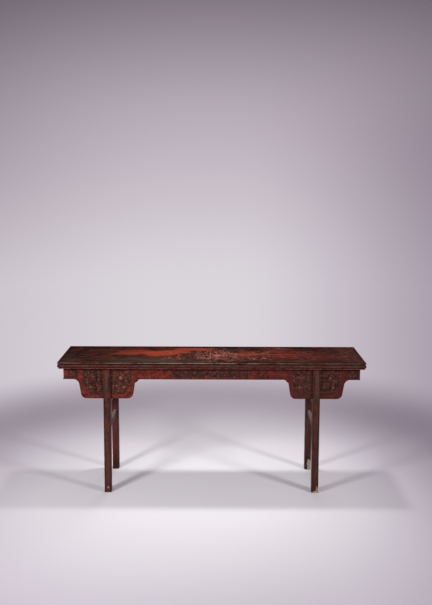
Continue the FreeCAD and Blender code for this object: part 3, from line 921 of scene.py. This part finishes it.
@dataclass(frozen=True)
class ReliefLacquer(Finish):
    """The raised ornament: a bright coat rubbed through to a deeper one on its high spots."""

    name: str
    bright: Colour
    deep: Colour
    hollow: Colour

    def dress(self) -> Material:
        """Builds the finish.

        Returns:
            The new material.
        """
        bench = Bench.for_finish(self.name)
        rubbed = bench.noise(75, detail=5, rough=0.65)
        grain = bench.noise(420, detail=2)
        colour = bench.coats(
            self.bright,
            (rubbed.rise(0.4, 0.58), self.deep),
            (grain.rise(0.52, 0.68) * 0.5, self.hollow),
            (bench.noise(24, detail=4).rise(0.54, 0.62) * 0.85, self.hollow),
            (self.dirt_and_right_shade(bench), PAINT.dark_brown),
        )
        return bench.close(colour, 0.34 + rubbed * 0.25, rubbed * 0.5 + grain * 0.4, 0.3 * MM)

    def dirt_and_right_shade(self, bench: Bench) -> Signal:
        """How far the ornament is darkened: painted shade on the right, and dirt on the left outer wings and
        the aprons' middle.

        Args:
            bench: the finish.

        Returns:
            The share of the surface that dirt and painted shade cover.
        """
        x, z = bench.x, bench.z
        # painted shade: the ornament darkens towards the right
        right = x.rise(0.1, 0.7) * 0.5
        outer_wings = x.rise(-0.62, -0.67) * 0.45
        on_apron = z.rise(0.70, 0.712) * z.rise(0.80, 0.79)
        cartouches = x.size().rise(0.32, 0.22) * on_apron * 0.6
        patches = bench.noise(14, detail=3).rise(0.42, 0.6) * 0.45
        return right.at_least(outer_wings).at_least(cartouches).at_least(patches)


def deselect() -> None:
    """Leaves nothing selected."""
    bpy.ops.object.select_all(action="DESELECT")


@contextmanager
def editing(piece: Piece) -> Iterator[None]:
    """Opens one piece in edit mode with all of it selected, and closes it again.

    Args:
        piece: the piece to shape.

    Returns:
        A block that lasts while the piece is open.
    """
    deselect()
    bpy.context.view_layer.objects.active = piece
    piece.select_set(True)
    bpy.ops.object.mode_set(mode="EDIT")
    bpy.ops.mesh.select_all(action="SELECT")
    yield
    bpy.ops.object.mode_set(mode="OBJECT")


def close_shell(piece: Piece) -> None:
    """Merges doubles, closes open rims and turns every face outwards.

    Args:
        piece: the piece, whose rims are flat.
    """
    with editing(piece):
        bpy.ops.mesh.remove_doubles(threshold=MERGE_DISTANCE)
        bpy.ops.mesh.select_all(action="DESELECT")
        bpy.ops.mesh.select_non_manifold(extend=False)
        bpy.ops.mesh.fill_holes(sides=0)
        bpy.ops.mesh.select_all(action="SELECT")
        bpy.ops.mesh.normals_make_consistent(inside=False)


def join(name: str, pieces: Sequence[Piece]) -> Piece:
    """Makes one object of several.

    Args:
        name: the new object's name.
        pieces: the objects, which are used up.

    Returns:
        The joined object.
    """
    deselect()
    for piece in pieces:
        piece.select_set(True)
    bpy.context.view_layer.objects.active = pieces[0]
    if len(pieces) > 1:
        bpy.ops.object.join()
    joined = bpy.context.view_layer.objects.active
    joined.name = name
    joined.data.name = name
    return joined


def copy_of(piece: Piece, place: Matrix, mirrored: bool = False) -> Piece:
    """Copies a modelled piece, with its own mesh, to another place.

    Args:
        piece: the piece modelled once.
        place: where the copy goes.
        mirrored: whether the copy is a mirror image, left for right.

    Returns:
        The copy.
    """
    copy = bpy.data.objects.new(piece.name, piece.data.copy())
    bpy.context.scene.collection.objects.link(copy)
    if mirrored:
        copy.data.transform(Matrix.Scale(-1, 4, (1, 0, 0)))
        copy.data.flip_normals()
    copy.data.transform(place)
    return copy


def discard(*pieces: Piece) -> None:
    """Takes patterns off the bench once their copies are made."""
    for piece in pieces:
        bpy.data.objects.remove(piece)


class Shape:
    """A small shape of the raised ornament, modelled from a primitive."""

    def start(self) -> None:
        """Adds the primitive."""
        raise NotImplementedError

    def shape(self, piece: Piece) -> None:
        """Shapes the primitive, which is open in edit mode."""
        raise NotImplementedError

    def model(self, name: str, finish: Material) -> Piece:
        """Models the shape.

        Args:
            name: its name.
            finish: its material.

        Returns:
            The piece, lying flat with its root towards the origin.
        """
        deselect()
        self.start()
        piece = bpy.context.active_object
        piece.name = name
        with editing(piece):
            self.shape(piece)
        close_shell(piece)
        piece.data.materials.append(finish)
        return piece


@dataclass(frozen=True)
class Pad(Shape):
    """A low domed shape: a petal, a leaf or a flower's heart.

    The shape lies along y from its root, sunk a little into the ground below it.
    """

    width: float
    length: float
    proud: float
    root: float = 0.0
    pinch: float = 1.0
    point: float = 1.0
    sides: int = 14

    def start(self) -> None:
        """Adds a flat disc."""
        bpy.ops.mesh.primitive_circle_add(vertices=self.sides, radius=0.5, fill_type="NGON")

    def shape(self, piece: Piece) -> None:
        """Stretches the disc, pinches its root, draws out its tip, and raises it step by step.

        Args:
            piece: the disc, open in edit mode.
        """
        middle = self.root + self.length / 2
        bpy.ops.transform.resize(value=(self.width, self.length, 1), center_override=CENTRE)
        bpy.ops.transform.translate(value=(0, middle, -SEAT))
        for vertex in bmesh.from_edit_mesh(piece.data).verts:
            along = (vertex.co.y - middle) / (self.length / 2)
            end = self.pinch if along < 0 else self.point
            vertex.co.x *= 1 + (end - 1) * abs(along)
        bmesh.update_edit_mesh(piece.data)
        for climb, shrink in DOME_STEPS:
            lift = (0, 0, (self.proud + SEAT) * climb)
            bpy.ops.mesh.extrude_region_move(TRANSFORM_OT_translate={"value": lift})
            bpy.ops.transform.resize(value=(shrink, shrink, 1), center_override=(0, middle, 0))


@dataclass(frozen=True)
class Blossom:
    """A flower in low relief: two rings of petals round a raised heart."""

    radius: float
    petals: int = 6
    proud: float = 1.3 * MM
    inner_share: float = 0.62
    heart_share: float = 0.32

    def ring(self, name: str, radius: float, proud: float, turn: float, finish: Material) -> Piece:
        """Models one ring of petals, spun from a single petal.

        Args:
            name: its name.
            radius: how far the petals reach.
            proud: how far they stand up.
            turn: how far the ring is turned, so that two rings alternate.
            finish: its material.

        Returns:
            The ring.
        """
        width = 1.9 * radius * math.sin(math.pi / self.petals)
        petal = Pad(width, radius * 0.82, proud, root=radius * 0.18, pinch=0.3).model(name, finish)
        with editing(petal):
            bpy.ops.transform.rotate(value=turn, orient_axis="Z", center_override=CENTRE)
            bpy.ops.mesh.spin(
                steps=self.petals, dupli=True, angle=FULL_TURN, center=CENTRE, axis=UPRIGHT
            )
            bpy.ops.mesh.select_all(action="SELECT")
            bpy.ops.mesh.remove_doubles(threshold=MERGE_DISTANCE)
        return petal

    def model(self, name: str, petal: Material, inner: Material, heart: Material) -> Piece:
        """Models the flower lying flat at the origin.

        Args:
            name: its name.
            petal: the outer petals' finish.
            inner: the inner petals' finish.
            heart: the heart's finish.

        Returns:
            The flower.
        """
        half_step = math.pi / self.petals
        across = self.radius * self.heart_share
        outer_ring = self.ring("outer_petals", self.radius, self.proud * 0.7, 0.0, petal)
        inner_ring = self.ring("inner_petals", self.radius * self.inner_share, self.proud, half_step, inner)
        middle = Pad(across, across, self.proud * 1.2, root=-across / 2).model("heart", heart)
        return join(name, [outer_ring, inner_ring, middle])


@dataclass(frozen=True)
class Arc:
    """One bend of a stem: its radius, how far it turns, leftwards above nought, and its thinning."""

    radius: float
    sweep: float
    taper: float = 0.86


@dataclass(frozen=True)
class Stem(Shape):
    """A raised stem made of arcs that runs on smoothly and thins towards its tip."""

    foot: Pair
    heading: float
    arcs: tuple[Arc, ...]
    width: float = 2.4 * MM
    top_share: float = 0.6
    proud: float = 0.9 * MM

    def joints(self) -> list[tuple[Vector, float]]:
        """Follows the stem from arc to arc.

        Returns:
            Each arc's end and the stem's heading there, the start first.
        """
        at, heading = Vector((*self.foot, 0)), self.heading
        found = [(at.copy(), heading)]
        for arc in self.arcs:
            centre = self.centre(at, heading, arc)
            at = centre + Matrix.Rotation(arc.sweep, 3, "Z") @ (at - centre)
            heading += arc.sweep
            found.append((at.copy(), heading))
        return found

    @staticmethod
    def centre(at: Vector, heading: float, arc: Arc) -> Vector:
        """Finds the point that an arc turns about.

        Args:
            at: where the arc starts.
            heading: the way the stem runs there.
            arc: the arc.

        Returns:
            The point.
        """
        side = math.copysign(math.pi / 2, arc.sweep)
        aside = Vector((math.cos(heading + side), math.sin(heading + side), 0))
        return at + aside * arc.radius

    def start(self) -> None:
        """Adds a square, whose corners become those of the section."""
        bpy.ops.mesh.primitive_plane_add(size=1)

    def shape(self, piece: Piece) -> None:
        """Stands the section up across the stem's foot, and spins it round one arc after another.

        Args:
            piece: the square, open in edit mode.
        """
        bpy.ops.mesh.delete(type="ONLY_FACE")
        bpy.ops.mesh.select_all(action="SELECT")
        across = Vector((-math.sin(self.heading), math.cos(self.heading), 0))
        for vertex in bmesh.from_edit_mesh(piece.data).verts:
            share, height = (self.top_share, self.proud) if vertex.co.y > 0 else (1.0, -SEAT)
            aside = across * (math.copysign(0.5, vertex.co.x) * self.width * share)
            vertex.co = Vector((*self.foot, height)) + aside
        bmesh.update_edit_mesh(piece.data)
        joints = self.joints()
        for arc, (at, heading), (end, _) in zip(self.arcs, joints, joints[1:]):
            bpy.ops.mesh.spin(
                steps=max(3, round(abs(arc.sweep) / BEND_STEP)),
                angle=-arc.sweep,
                center=self.centre(at, heading, arc),
                axis=UPRIGHT,
            )
            bpy.ops.transform.resize(value=(arc.taper, arc.taper, 1), center_override=end)


@dataclass(frozen=True)
class Scroll:
    """A stem that leads in, curls up into a spiral and ends round a flower.

    Lengths are in millimetres and angles in degrees.
    """

    start: Pair
    heading: float
    lead_radius: float
    lead_sweep: float
    curl_radius: float
    curl_hand: int
    flower_radius: float
    bends: int = 4
    lead_parts: int = 1
    lead_taper: float = 0.96
    shrink: float = 0.78
    bend_sweep: float = 85.0
    width: float = 2.4

    def stem(self) -> Stem:
        """Works out the scroll's own stem.

        Returns:
            The stem, in metres and radians.
        """
        lead_sweep = math.radians(self.lead_sweep) / self.lead_parts
        lead = Arc(self.lead_radius * MM, lead_sweep, self.lead_taper)
        sweep = math.radians(self.bend_sweep) * self.curl_hand
        curl = (Arc(self.curl_radius * MM * self.shrink**turn, sweep) for turn in range(self.bends))
        start = (self.start[0] * MM, self.start[1] * MM)
        arcs = (*(lead,) * self.lead_parts, *curl)
        return Stem(start, math.radians(self.heading), arcs, self.width * MM)


def placed(at: Vector, turn: float, size: float) -> Matrix:
    """The place of a copy that is turned and sized across its ground."""
    return Matrix.Translation(at) @ Matrix.Rotation(turn, 4, "Z") @ sized(size)


def smooth(piece: Piece) -> Piece:
    """Shades a piece smooth except across its sharp edges.

    Args:
        piece: the piece.

    Returns:
        The same piece.
    """
    deselect()
    piece.select_set(True)
    bpy.context.view_layer.objects.active = piece
    bpy.ops.object.shade_smooth_by_angle(angle=SMOOTH_ANGLE)
    return piece


def fasten(name: str, pieces: Sequence[Piece]) -> None:
    """Joins an ornament's pieces into one, and has it ride on the table.

    Args:
        name: the ornament's name.
        pieces: its pieces, already in place.
    """
    piece = join(name, pieces)
    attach(piece, "root")
    log.info("%s: %d faces", name, len(piece.data.polygons))


class Carver:
    """Models the sprays of raised lacquer: stems with leaves, curled round flowers."""

    flower_radius = 10 * MM
    leaf = Pad(5.2 * MM, 13 * MM, 0.9 * MM, pinch=0.45, point=0.15, sides=12)
    leaf_splay = math.radians(50)
    first_leaf = 0.95
    leaf_shrink = 0.11
    least_leaf = 0.5

    def __init__(self) -> None:
        """Mixes the finishes, and models the flower and the leaf that all sprays repeat."""
        petal = ReliefLacquer("petal_lacquer_red", PAINT.crimson, PAINT.pink, PAINT.red_brown).dress()
        inner = ReliefLacquer("petal_lacquer_pale", PAINT.pink, PAINT.pale_pink, PAINT.crimson).dress()
        heart = ReliefLacquer("gilded_heart", PAINT.gilt, PAINT.orange_red, PAINT.red_brown).dress()
        leaf = ReliefLacquer("leaf_lacquer_olive", PAINT.leaf, PAINT.red_brown, PAINT.dark_brown).dress()
        self.gilt = ReliefLacquer("stem_lacquer_gilt", PAINT.gilt, PAINT.orange_red, PAINT.red_brown).dress()
        self.pale = ReliefLacquer("stem_lacquer_pale", PAINT.pale_pink, PAINT.pink, PAINT.crimson).dress()
        self.flower = Blossom(self.flower_radius).model("flower_pattern", petal, inner, heart)
        self.blade = self.leaf.model("leaf_pattern", leaf)

    def clear(self) -> None:
        """Takes the two patterns away."""
        discard(self.flower, self.blade)

    def scroll(self, scroll: Scroll, finish: Material) -> list[Piece]:
        """Models one scroll: its stem, a leaf at each joint, and the flower that it ends round.

        Args:
            scroll: the scroll's drawing.
            finish: the stem's material.

        Returns:
            The scroll's pieces.
        """
        stem = scroll.stem()
        pieces = [stem.model("stem", finish)]
        joints = stem.joints()
        for number, (at, heading) in enumerate(joints[1:-1]):
            along_lead = number < scroll.lead_parts - 1
            side = -1 if along_lead and number % 2 else 1
            outward = heading - side * scroll.curl_hand * self.leaf_splay - math.pi / 2
            size = 1.0 if along_lead else self.first_leaf - self.leaf_shrink * number
            pieces.append(copy_of(self.blade, placed(at, outward, max(size, self.least_leaf))))
        eye = Stem.centre(*joints[-2], stem.arcs[-1])
        size = scroll.flower_radius * MM / self.flower_radius
        pieces.append(copy_of(self.flower, placed(eye, joints[-1][1], size)))
        return pieces

    def spray(self, name: str, scrolls: Sequence[Scroll], finish: Material | None = None) -> Piece:
        """Models several scrolls as one pattern piece, with gilt stems unless told otherwise."""
        pieces = [piece for scroll in scrolls for piece in self.scroll(scroll, finish or self.gilt)]
        return smooth(join(name, pieces))


PEONY_SCROLLS = (
    Scroll((10, 6), 75, 386, 15, 36, -1, 15.5, lead_parts=3),
    Scroll((14, 9), 12, 330, -12, 27, 1, 12, lead_parts=2),
    Scroll((34, 14), 35, 52, 55, 15.5, 1, 7.5),
    Scroll((99, 108), 50, 60, 40, 14, 1, 7),
    Scroll((22, 100), 115, 106, -25, 12, -1, 6),
    Scroll((33, 82), -28, 60, 22, 9.5, -1, 4.5),
    Scroll((103, 62), 60, 60, 25, 8.5, 1, 4.5),
    Scroll((54, 16), 52, 60, -22, 8.5, -1, 4.5),
    Scroll((16, 34), 120, 60, -20, 7, -1, 4),
    Scroll((88, 118), 100, 60, 20, 8, 1, 4.5),
)


def foot_on(corners: Sequence[Vector], facing: Facing, sunk: float, height: float) -> Vector:
    """Finds where an ornament stands on the outer face of a solid.

    Args:
        corners: the low and the high corner of the solid's box.
        facing: the way that the face looks.
        sunk: how far its ground lies behind its foremost part.
        height: the height of the ornament's foot.

    Returns:
        The place of the ornament's foot, midway along the face.
    """
    low, high = corners
    outward = facing.outward()
    foot = (low + high) / 2 + outward * (abs((high - low).dot(outward)) / 2 - sunk)
    foot.z = height
    return foot


class SubAssembly:
    """A part of the table, dressed in one finish and then ornamented."""

    solids: tuple[str, ...] = ()
    coating: Finish

    def finish(self) -> Material:
        """Mixes the part's finish."""
        return self.coating.dress()

    def ornament(self, carver: Carver) -> None:
        """Lays raised ornament on the part; a plain part has none."""

    def build(self, carver: Carver) -> None:
        """Dresses every solid of the part and ornaments it.

        Args:
            carver: the maker of the raised sprays.
        """
        finish = self.finish()
        for name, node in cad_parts.items():
            if name.startswith(self.solids):
                node.data.materials.clear()
                node.data.materials.append(finish)
                log.info("dressed %s", name)
        self.ornament(carver)


@dataclass(frozen=True)
class TableTop(SubAssembly):
    """The framed top, with a flat medallion of peony scrolls and a spray at each side of it."""

    solids = ("top_",)
    coating: TopLacquer = TopLacquer()
    relief: float = 0.55
    middle: Pair = (0.03, -0.012)
    inner_half: Pair = (44 * MM, 32 * MM)
    inner_count: int = 8
    outer_half: Pair = (104 * MM, 64 * MM)
    outer_count: int = 12
    heart_size: float = 3.4
    side_gap: float = 0.18
    inner_scroll: Scroll = Scroll((0, 0), 5, 40, 25, 12, 1, 6, width=3.4)
    outer_scroll: Scroll = Scroll((0, 0), 5, 60, 22, 24, 1, 11, width=4.4)

    def ring(self, pattern: Piece, ground: Matrix, half: Pair, count: int) -> list[Piece]:
        """Stands copies of a scroll round an oval, all curling the same way.

        Args:
            pattern: the scroll, starting at the origin and leading along x.
            ground: the medallion's own place.
            half: the oval's half sizes, in metres.
            count: how many copies go round.

        Returns:
            The copies.
        """
        copies = []
        for number in range(count):
            angle = FULL_TURN * (number + 0.5) / count
            at = Vector((half[0] * math.cos(angle), half[1] * math.sin(angle), 0))
            turn = math.atan2(math.sin(angle) / half[1], math.cos(angle) / half[0])
            copies.append(copy_of(pattern, ground @ placed(at, turn, 1)))
        return copies

    def ornament(self, carver: Carver) -> None:
        """Lays the medallion and the two side sprays.

        Args:
            carver: the maker of the raised sprays.
        """
        ground = Matrix.Translation((*self.middle, self.coating.field_height))
        ground = ground @ Matrix.Diagonal((1, 1, self.relief, 1))
        inner = carver.spray("inner_scroll", (self.inner_scroll,), carver.pale)
        outer = carver.spray("outer_scroll", (self.outer_scroll,), carver.pale)
        rings = self.ring(inner, ground, self.inner_half, self.inner_count)
        rings += self.ring(outer, ground, self.outer_half, self.outer_count)
        heart = copy_of(carver.flower, ground @ placed(Vector(), 0, self.heart_size))
        fasten("medallion", [*rings, heart])
        spray = carver.spray("side_spray", PEONY_SCROLLS)
        for hand in Hand:
            at = Vector((hand.value * self.side_gap, 0, 0))
            half = ground @ placed(at, -hand.value * math.pi / 2, 1)
            halves = [copy_of(spray, half, mirrored) for mirrored in (False, True)]
            fasten(f"top_spray_{hand.name.lower()}", halves)
        discard(inner, outer, spray)


@dataclass(frozen=True)
class Aprons(SubAssembly):
    """The four aprons, with a running scroll of small peonies along the middle of each."""

    solids = ("apron_", "end_apron_")
    coating: CarcaseLacquer = CarcaseLacquer()
    bead_proud: float = 2 * MM
    unit_length: float = 84 * MM
    unit_height: float = 56 * MM
    wave_radius: float = 30 * MM
    wave_bend: float = math.radians(84)
    scale: float = 0.66
    long_count: int = 8
    end_count: int = 5
    scrolls: tuple[Scroll, ...] = (
        Scroll((2, 26), -38, 40, 10, 19, 1, 8, bends=5, shrink=0.76),
        Scroll((42, 30), 38, 40, -10, 19, -1, 8, bends=5, shrink=0.76),
    )

    def unit(self, carver: Carver) -> Piece:
        """Models one length of the running scroll: a wave with a curl above and one below.

        Args:
            carver: the maker of the raised sprays.

        Returns:
            The length, lying flat.
        """
        start = (0, self.unit_height / 2)
        arcs = tuple(Arc(self.wave_radius, bend, 1.0) for bend in (self.wave_bend, -self.wave_bend))
        wave = Stem(start, -self.wave_bend / 2, arcs).model("wave", carver.gilt)
        return smooth(join("running_scroll", [carver.spray("curls", self.scrolls), wave]))

    def ornament(self, carver: Carver) -> None:
        """Repeats the scroll along each apron.

        Args:
            carver: the maker of the raised sprays.
        """
        pattern = self.unit(carver)
        step = self.unit_length * self.scale
        height = self.coating.cartouche_middle - self.unit_height * self.scale / 2
        for facing, solid, count in (
            (Facing.FRONT, "apron_front", self.long_count),
            (Facing.BACK, "apron_back", self.long_count),
            (Facing.LEFT, "end_apron_left", self.end_count),
            (Facing.RIGHT, "end_apron_right", self.end_count),
        ):
            foot = foot_on(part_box(solid), facing, self.bead_proud, height)
            units = []
            for number in range(count):
                start = foot + facing.along() * ((number - count / 2) * step)
                units.append(copy_of(pattern, facing.place(start, self.scale)))
            fasten(f"scroll_{solid}", units)
        discard(pattern)


@dataclass(frozen=True)
class Spandrels(SubAssembly):
    """The four spandrels, each with peony scrolls on both of its wings."""

    solids = ("spandrel_",)
    leg_half: float = 24 * MM
    panel_low: float = 0.6195
    bead_proud: float = 2 * MM
    scale: float = 0.9

    def finish(self) -> Material:
        """Shares the painted lacquer of the aprons."""
        return bpy.data.materials[CarcaseLacquer.name]

    def ornament(self, carver: Carver) -> None:
        """Copies one wing's scrolls to all eight wings.

        Args:
            carver: the maker of the raised sprays.
        """
        wing = carver.spray("wing_scrolls", PEONY_SCROLLS)
        for facing in (Facing.FRONT, Facing.BACK):
            for hand in Hand:
                name = f"{facing.name.lower()}_{hand.name.lower()}"
                foot = foot_on(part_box(f"spandrel_{name}"), facing, self.bead_proud, self.panel_low)
                wings = []
                for side in (-1, 1):
                    root = foot + facing.along() * (side * self.leg_half)
                    wings.append(copy_of(wing, facing.place(root, self.scale), mirrored=side < 0))
                fasten(f"peonies_{name}", wings)
        discard(wing)


@dataclass(frozen=True)
class Legs(SubAssembly):
    """The four legs in worn lacquer."""

    solids = ("leg_",)
    coating: LegLacquer = LegLacquer()


@dataclass(frozen=True)
class Stretchers(SubAssembly):
    """The stretchers between the legs of each end, in plain lacquer."""

    solids = ("stretcher_",)
    coating: PlainFinish = PlainFinish(
        "stretcher_lacquer_plain", PAINT.red_brown, PAINT.dark_brown, dust_and_sheen=0.9
    )


@dataclass(frozen=True)
class Battens(SubAssembly):
    """The battens under the top, in dark bare wood."""

    solids = ("batten_",)
    coating: PlainFinish = PlainFinish("batten_wood_dark", PAINT.bare_wood, PAINT.shadow_wood)


@dataclass(frozen=True)
class SoftLamp:
    """A square soft lamp that looks at the table."""

    name: str
    place: Triple
    power: float
    size: float
    target: Triple = (0.0, 0.0, 0.5)
    spread: float = 180.0
    mirrored: bool = True

    def hang(self) -> None:
        """Hangs the lamp."""
        data = bpy.data.lights.new(self.name, "AREA")
        data.energy = self.power
        data.size = self.size
        data.spread = math.radians(self.spread)
        lamp = bpy.data.objects.new(self.name, data)
        bpy.context.scene.collection.objects.link(lamp)
        lamp.location = self.place
        lamp.visible_glossy = self.mirrored
        back = Vector(self.place) - Vector(self.target)
        lamp.rotation_euler = back.to_track_quat("Z", "Y").to_euler()


@dataclass(frozen=True)
class Studio:
    """The floor, the soft light and the camera at the photograph's viewing angle."""

    image_width: int = 432
    image_height: int = 605
    focal_pixels: float = 760.0
    sensor: float = 36.0
    camera_place: Triple = (0.02283, -4.62239, 1.95347)
    camera_yaw: float = 0.00029
    camera_pitch: float = 0.17162
    camera_roll: float = 0.00352
    floor_radius: float = 600.0
    floor_colour: Colour = pigment("EDEBED")
    floor_rim: Colour = pigment("B9B0BB")
    backdrop_low: Colour = pigment("DAD4DB")
    backdrop_middle: Colour = pigment("C0B5C0")
    backdrop_high: Colour = pigment("685C6A")
    backdrop_top: Colour = pigment("2A242C")
    backdrop_side: Colour = pigment("958598")
    dim_light: Colour = (0.25, 0.216, 0.256, 1.0)
    eye_height: float = 1.95
    eye_distance: float = 4.6
    glow_start: float = 1.6
    glow_full: float = 3.1
    lamps: tuple[SoftLamp, ...] = (
        SoftLamp("lamp_left", (-2.0, -2.1, 2.1), 48.0, 0.5),
        SoftLamp("lamp_right", (3.4, -2.6, 2.3), 76.0, 0.6),
        SoftLamp("lamp_above", (0.2, 0.42, 3.1), 6.4, 0.25, (0.0, 0.0, 0.0), spread=74.0),
        SoftLamp("lamp_back", (0.5, 3.3, 2.7), 24.0, 1.4, mirrored=False),
    )

    def place_camera(self) -> None:
        """Sets the camera up from the fitted place and angles."""
        data = bpy.data.cameras.new("studio_camera")
        data.sensor_fit = "AUTO"
        data.sensor_width = self.sensor
        data.lens = self.focal_pixels / max(self.image_width, self.image_height) * self.sensor
        camera = bpy.data.objects.new("studio_camera", data)
        bpy.context.scene.collection.objects.link(camera)
        yaw, pitch, roll = self.camera_yaw, self.camera_pitch, self.camera_roll
        ahead = Vector(
            (math.sin(yaw) * math.cos(pitch), math.cos(yaw) * math.cos(pitch), -math.sin(pitch))
        )
        level = Vector((math.cos(yaw), -math.sin(yaw), 0))
        above = level.cross(ahead)
        right = level * math.cos(roll) + above * math.sin(roll)
        upward = above * math.cos(roll) - level * math.sin(roll)
        turn = Matrix((right, upward, -ahead)).transposed().to_4x4()
        camera.matrix_world = Matrix.Translation(self.camera_place) @ turn
        bpy.context.scene.camera = camera

    def lay_floor(self) -> None:
        """Lays a wide pale floor that fades into the background far away."""
        deselect()
        bpy.ops.mesh.primitive_circle_add(vertices=96, radius=self.floor_radius, fill_type="NGON")
        floor = bpy.context.active_object
        floor.name = "studio_floor"
        bench = Bench.for_finish("studio_floor_paint")
        away = bench.length(bench.place)
        # painted pool of light: the floor's paint darkens away from the table and towards the sides
        colour = bench.mix(away.rise(0.5, 2.5), self.floor_colour, self.floor_rim)
        sides = (bench.x.rise(0.6, 1.8) * 0.6).at_least(bench.x.rise(-0.9, -2.4) * 0.3)
        colour = bench.mix(sides, colour, self.backdrop_side)
        paint = bench.take("ShaderNodeBsdfDiffuse", "BSDF", sockets={"Color": colour})
        from_eye = away + self.eye_distance
        glow_colour = self.backdrop(bench, -self.eye_height / from_eye, bench.x / from_eye)
        glow = bench.take("ShaderNodeEmission", "Emission", sockets={"Color": glow_colour})
        far = away.rise(self.glow_start, self.glow_full) * bench.seen()
        self.blend(bench, "ShaderNodeOutputMaterial", far, paint, glow)
        floor.data.materials.append(bench.owner)

    @staticmethod
    def blend(bench: Bench, output: str, share: Signal, near: Signal, far: Signal) -> None:
        """Ends a finish of the studio with a blend of two shaders.

        Args:
            bench: the finish.
            output: Blender's name of the type of its last node.
            share: how much of the second shader shows.
            near: the first shader.
            far: the second shader.
        """
        sockets = {"Fac": share, "Shader": near, "Shader_001": far}
        blend = bench.take("ShaderNodeMixShader", "Shader", sockets=sockets)
        bench.node(output, sockets={"Surface": blend})

    def backdrop(self, bench: Bench, climb: Signal, aside: Signal) -> Signal:
        """Paints the backdrop, pale behind the table, and deeper upwards and to the sides, as a painted
        falloff of light.

        Args:
            bench: the finish.
            climb: how steeply the view goes up to a point of the backdrop.
            aside: how far it goes to the right.

        Returns:
            The backdrop's colour.
        """
        middle = bench.coats(
            self.backdrop_low,
            (climb.rise(-0.16, 0.06), self.backdrop_middle),
            (climb.rise(0.0, 0.3), self.backdrop_high),
            (climb.rise(0.21, 0.34), self.backdrop_top),
        )
        # painted falloff of light towards the sides and corners
        sides = (aside.rise(0.02, 0.36) * 0.85).at_least(aside.rise(-0.05, -0.5) * 0.45)
        corners = (aside * aside * (climb * 13 + 1.9)).at_least(0.0).at_most(0.33)
        return bench.coats(
            middle,
            (sides, bench.mix(climb.rise(0.0, 0.25), self.backdrop_side, middle)),
            (corners * aside.size().rise(0.6, 0.35), self.backdrop_top),
        )

    def hang_background(self) -> None:
        """Gives the world one dim light, and a pale backdrop to what looks at it."""
        bpy.context.scene.world = bpy.data.worlds.new("studio_world")
        bench = Bench(bpy.context.scene.world, "Generated")
        colour = self.backdrop(bench, bench.z, bench.x)
        lit = bench.take("ShaderNodeBackground", "Background", sockets={"Color": self.dim_light})
        pale = bench.take("ShaderNodeBackground", "Background", sockets={"Color": colour})
        self.blend(bench, "ShaderNodeOutputWorld", bench.seen(), lit, pale)

    def set_up(self) -> None:
        """Lays the floor and hangs the backdrop, the lamps and the camera."""
        bpy.context.scene.view_settings.view_transform = "Standard"
        self.place_camera()
        self.lay_floor()
        self.hang_background()
        for lamp in self.lamps:
            lamp.hang()


def main() -> None:
    """Builds the finishes, the ornament and the studio."""
    logging.basicConfig(level=logging.INFO, format="%(message)s")
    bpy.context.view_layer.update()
    Studio().set_up()
    carver = Carver()
    for part in (TableTop(), Aprons(), Spandrels(), Legs(), Stretchers(), Battens()):
        part.build(carver)
    carver.clear()


if __name__ == "__main__":
    main()
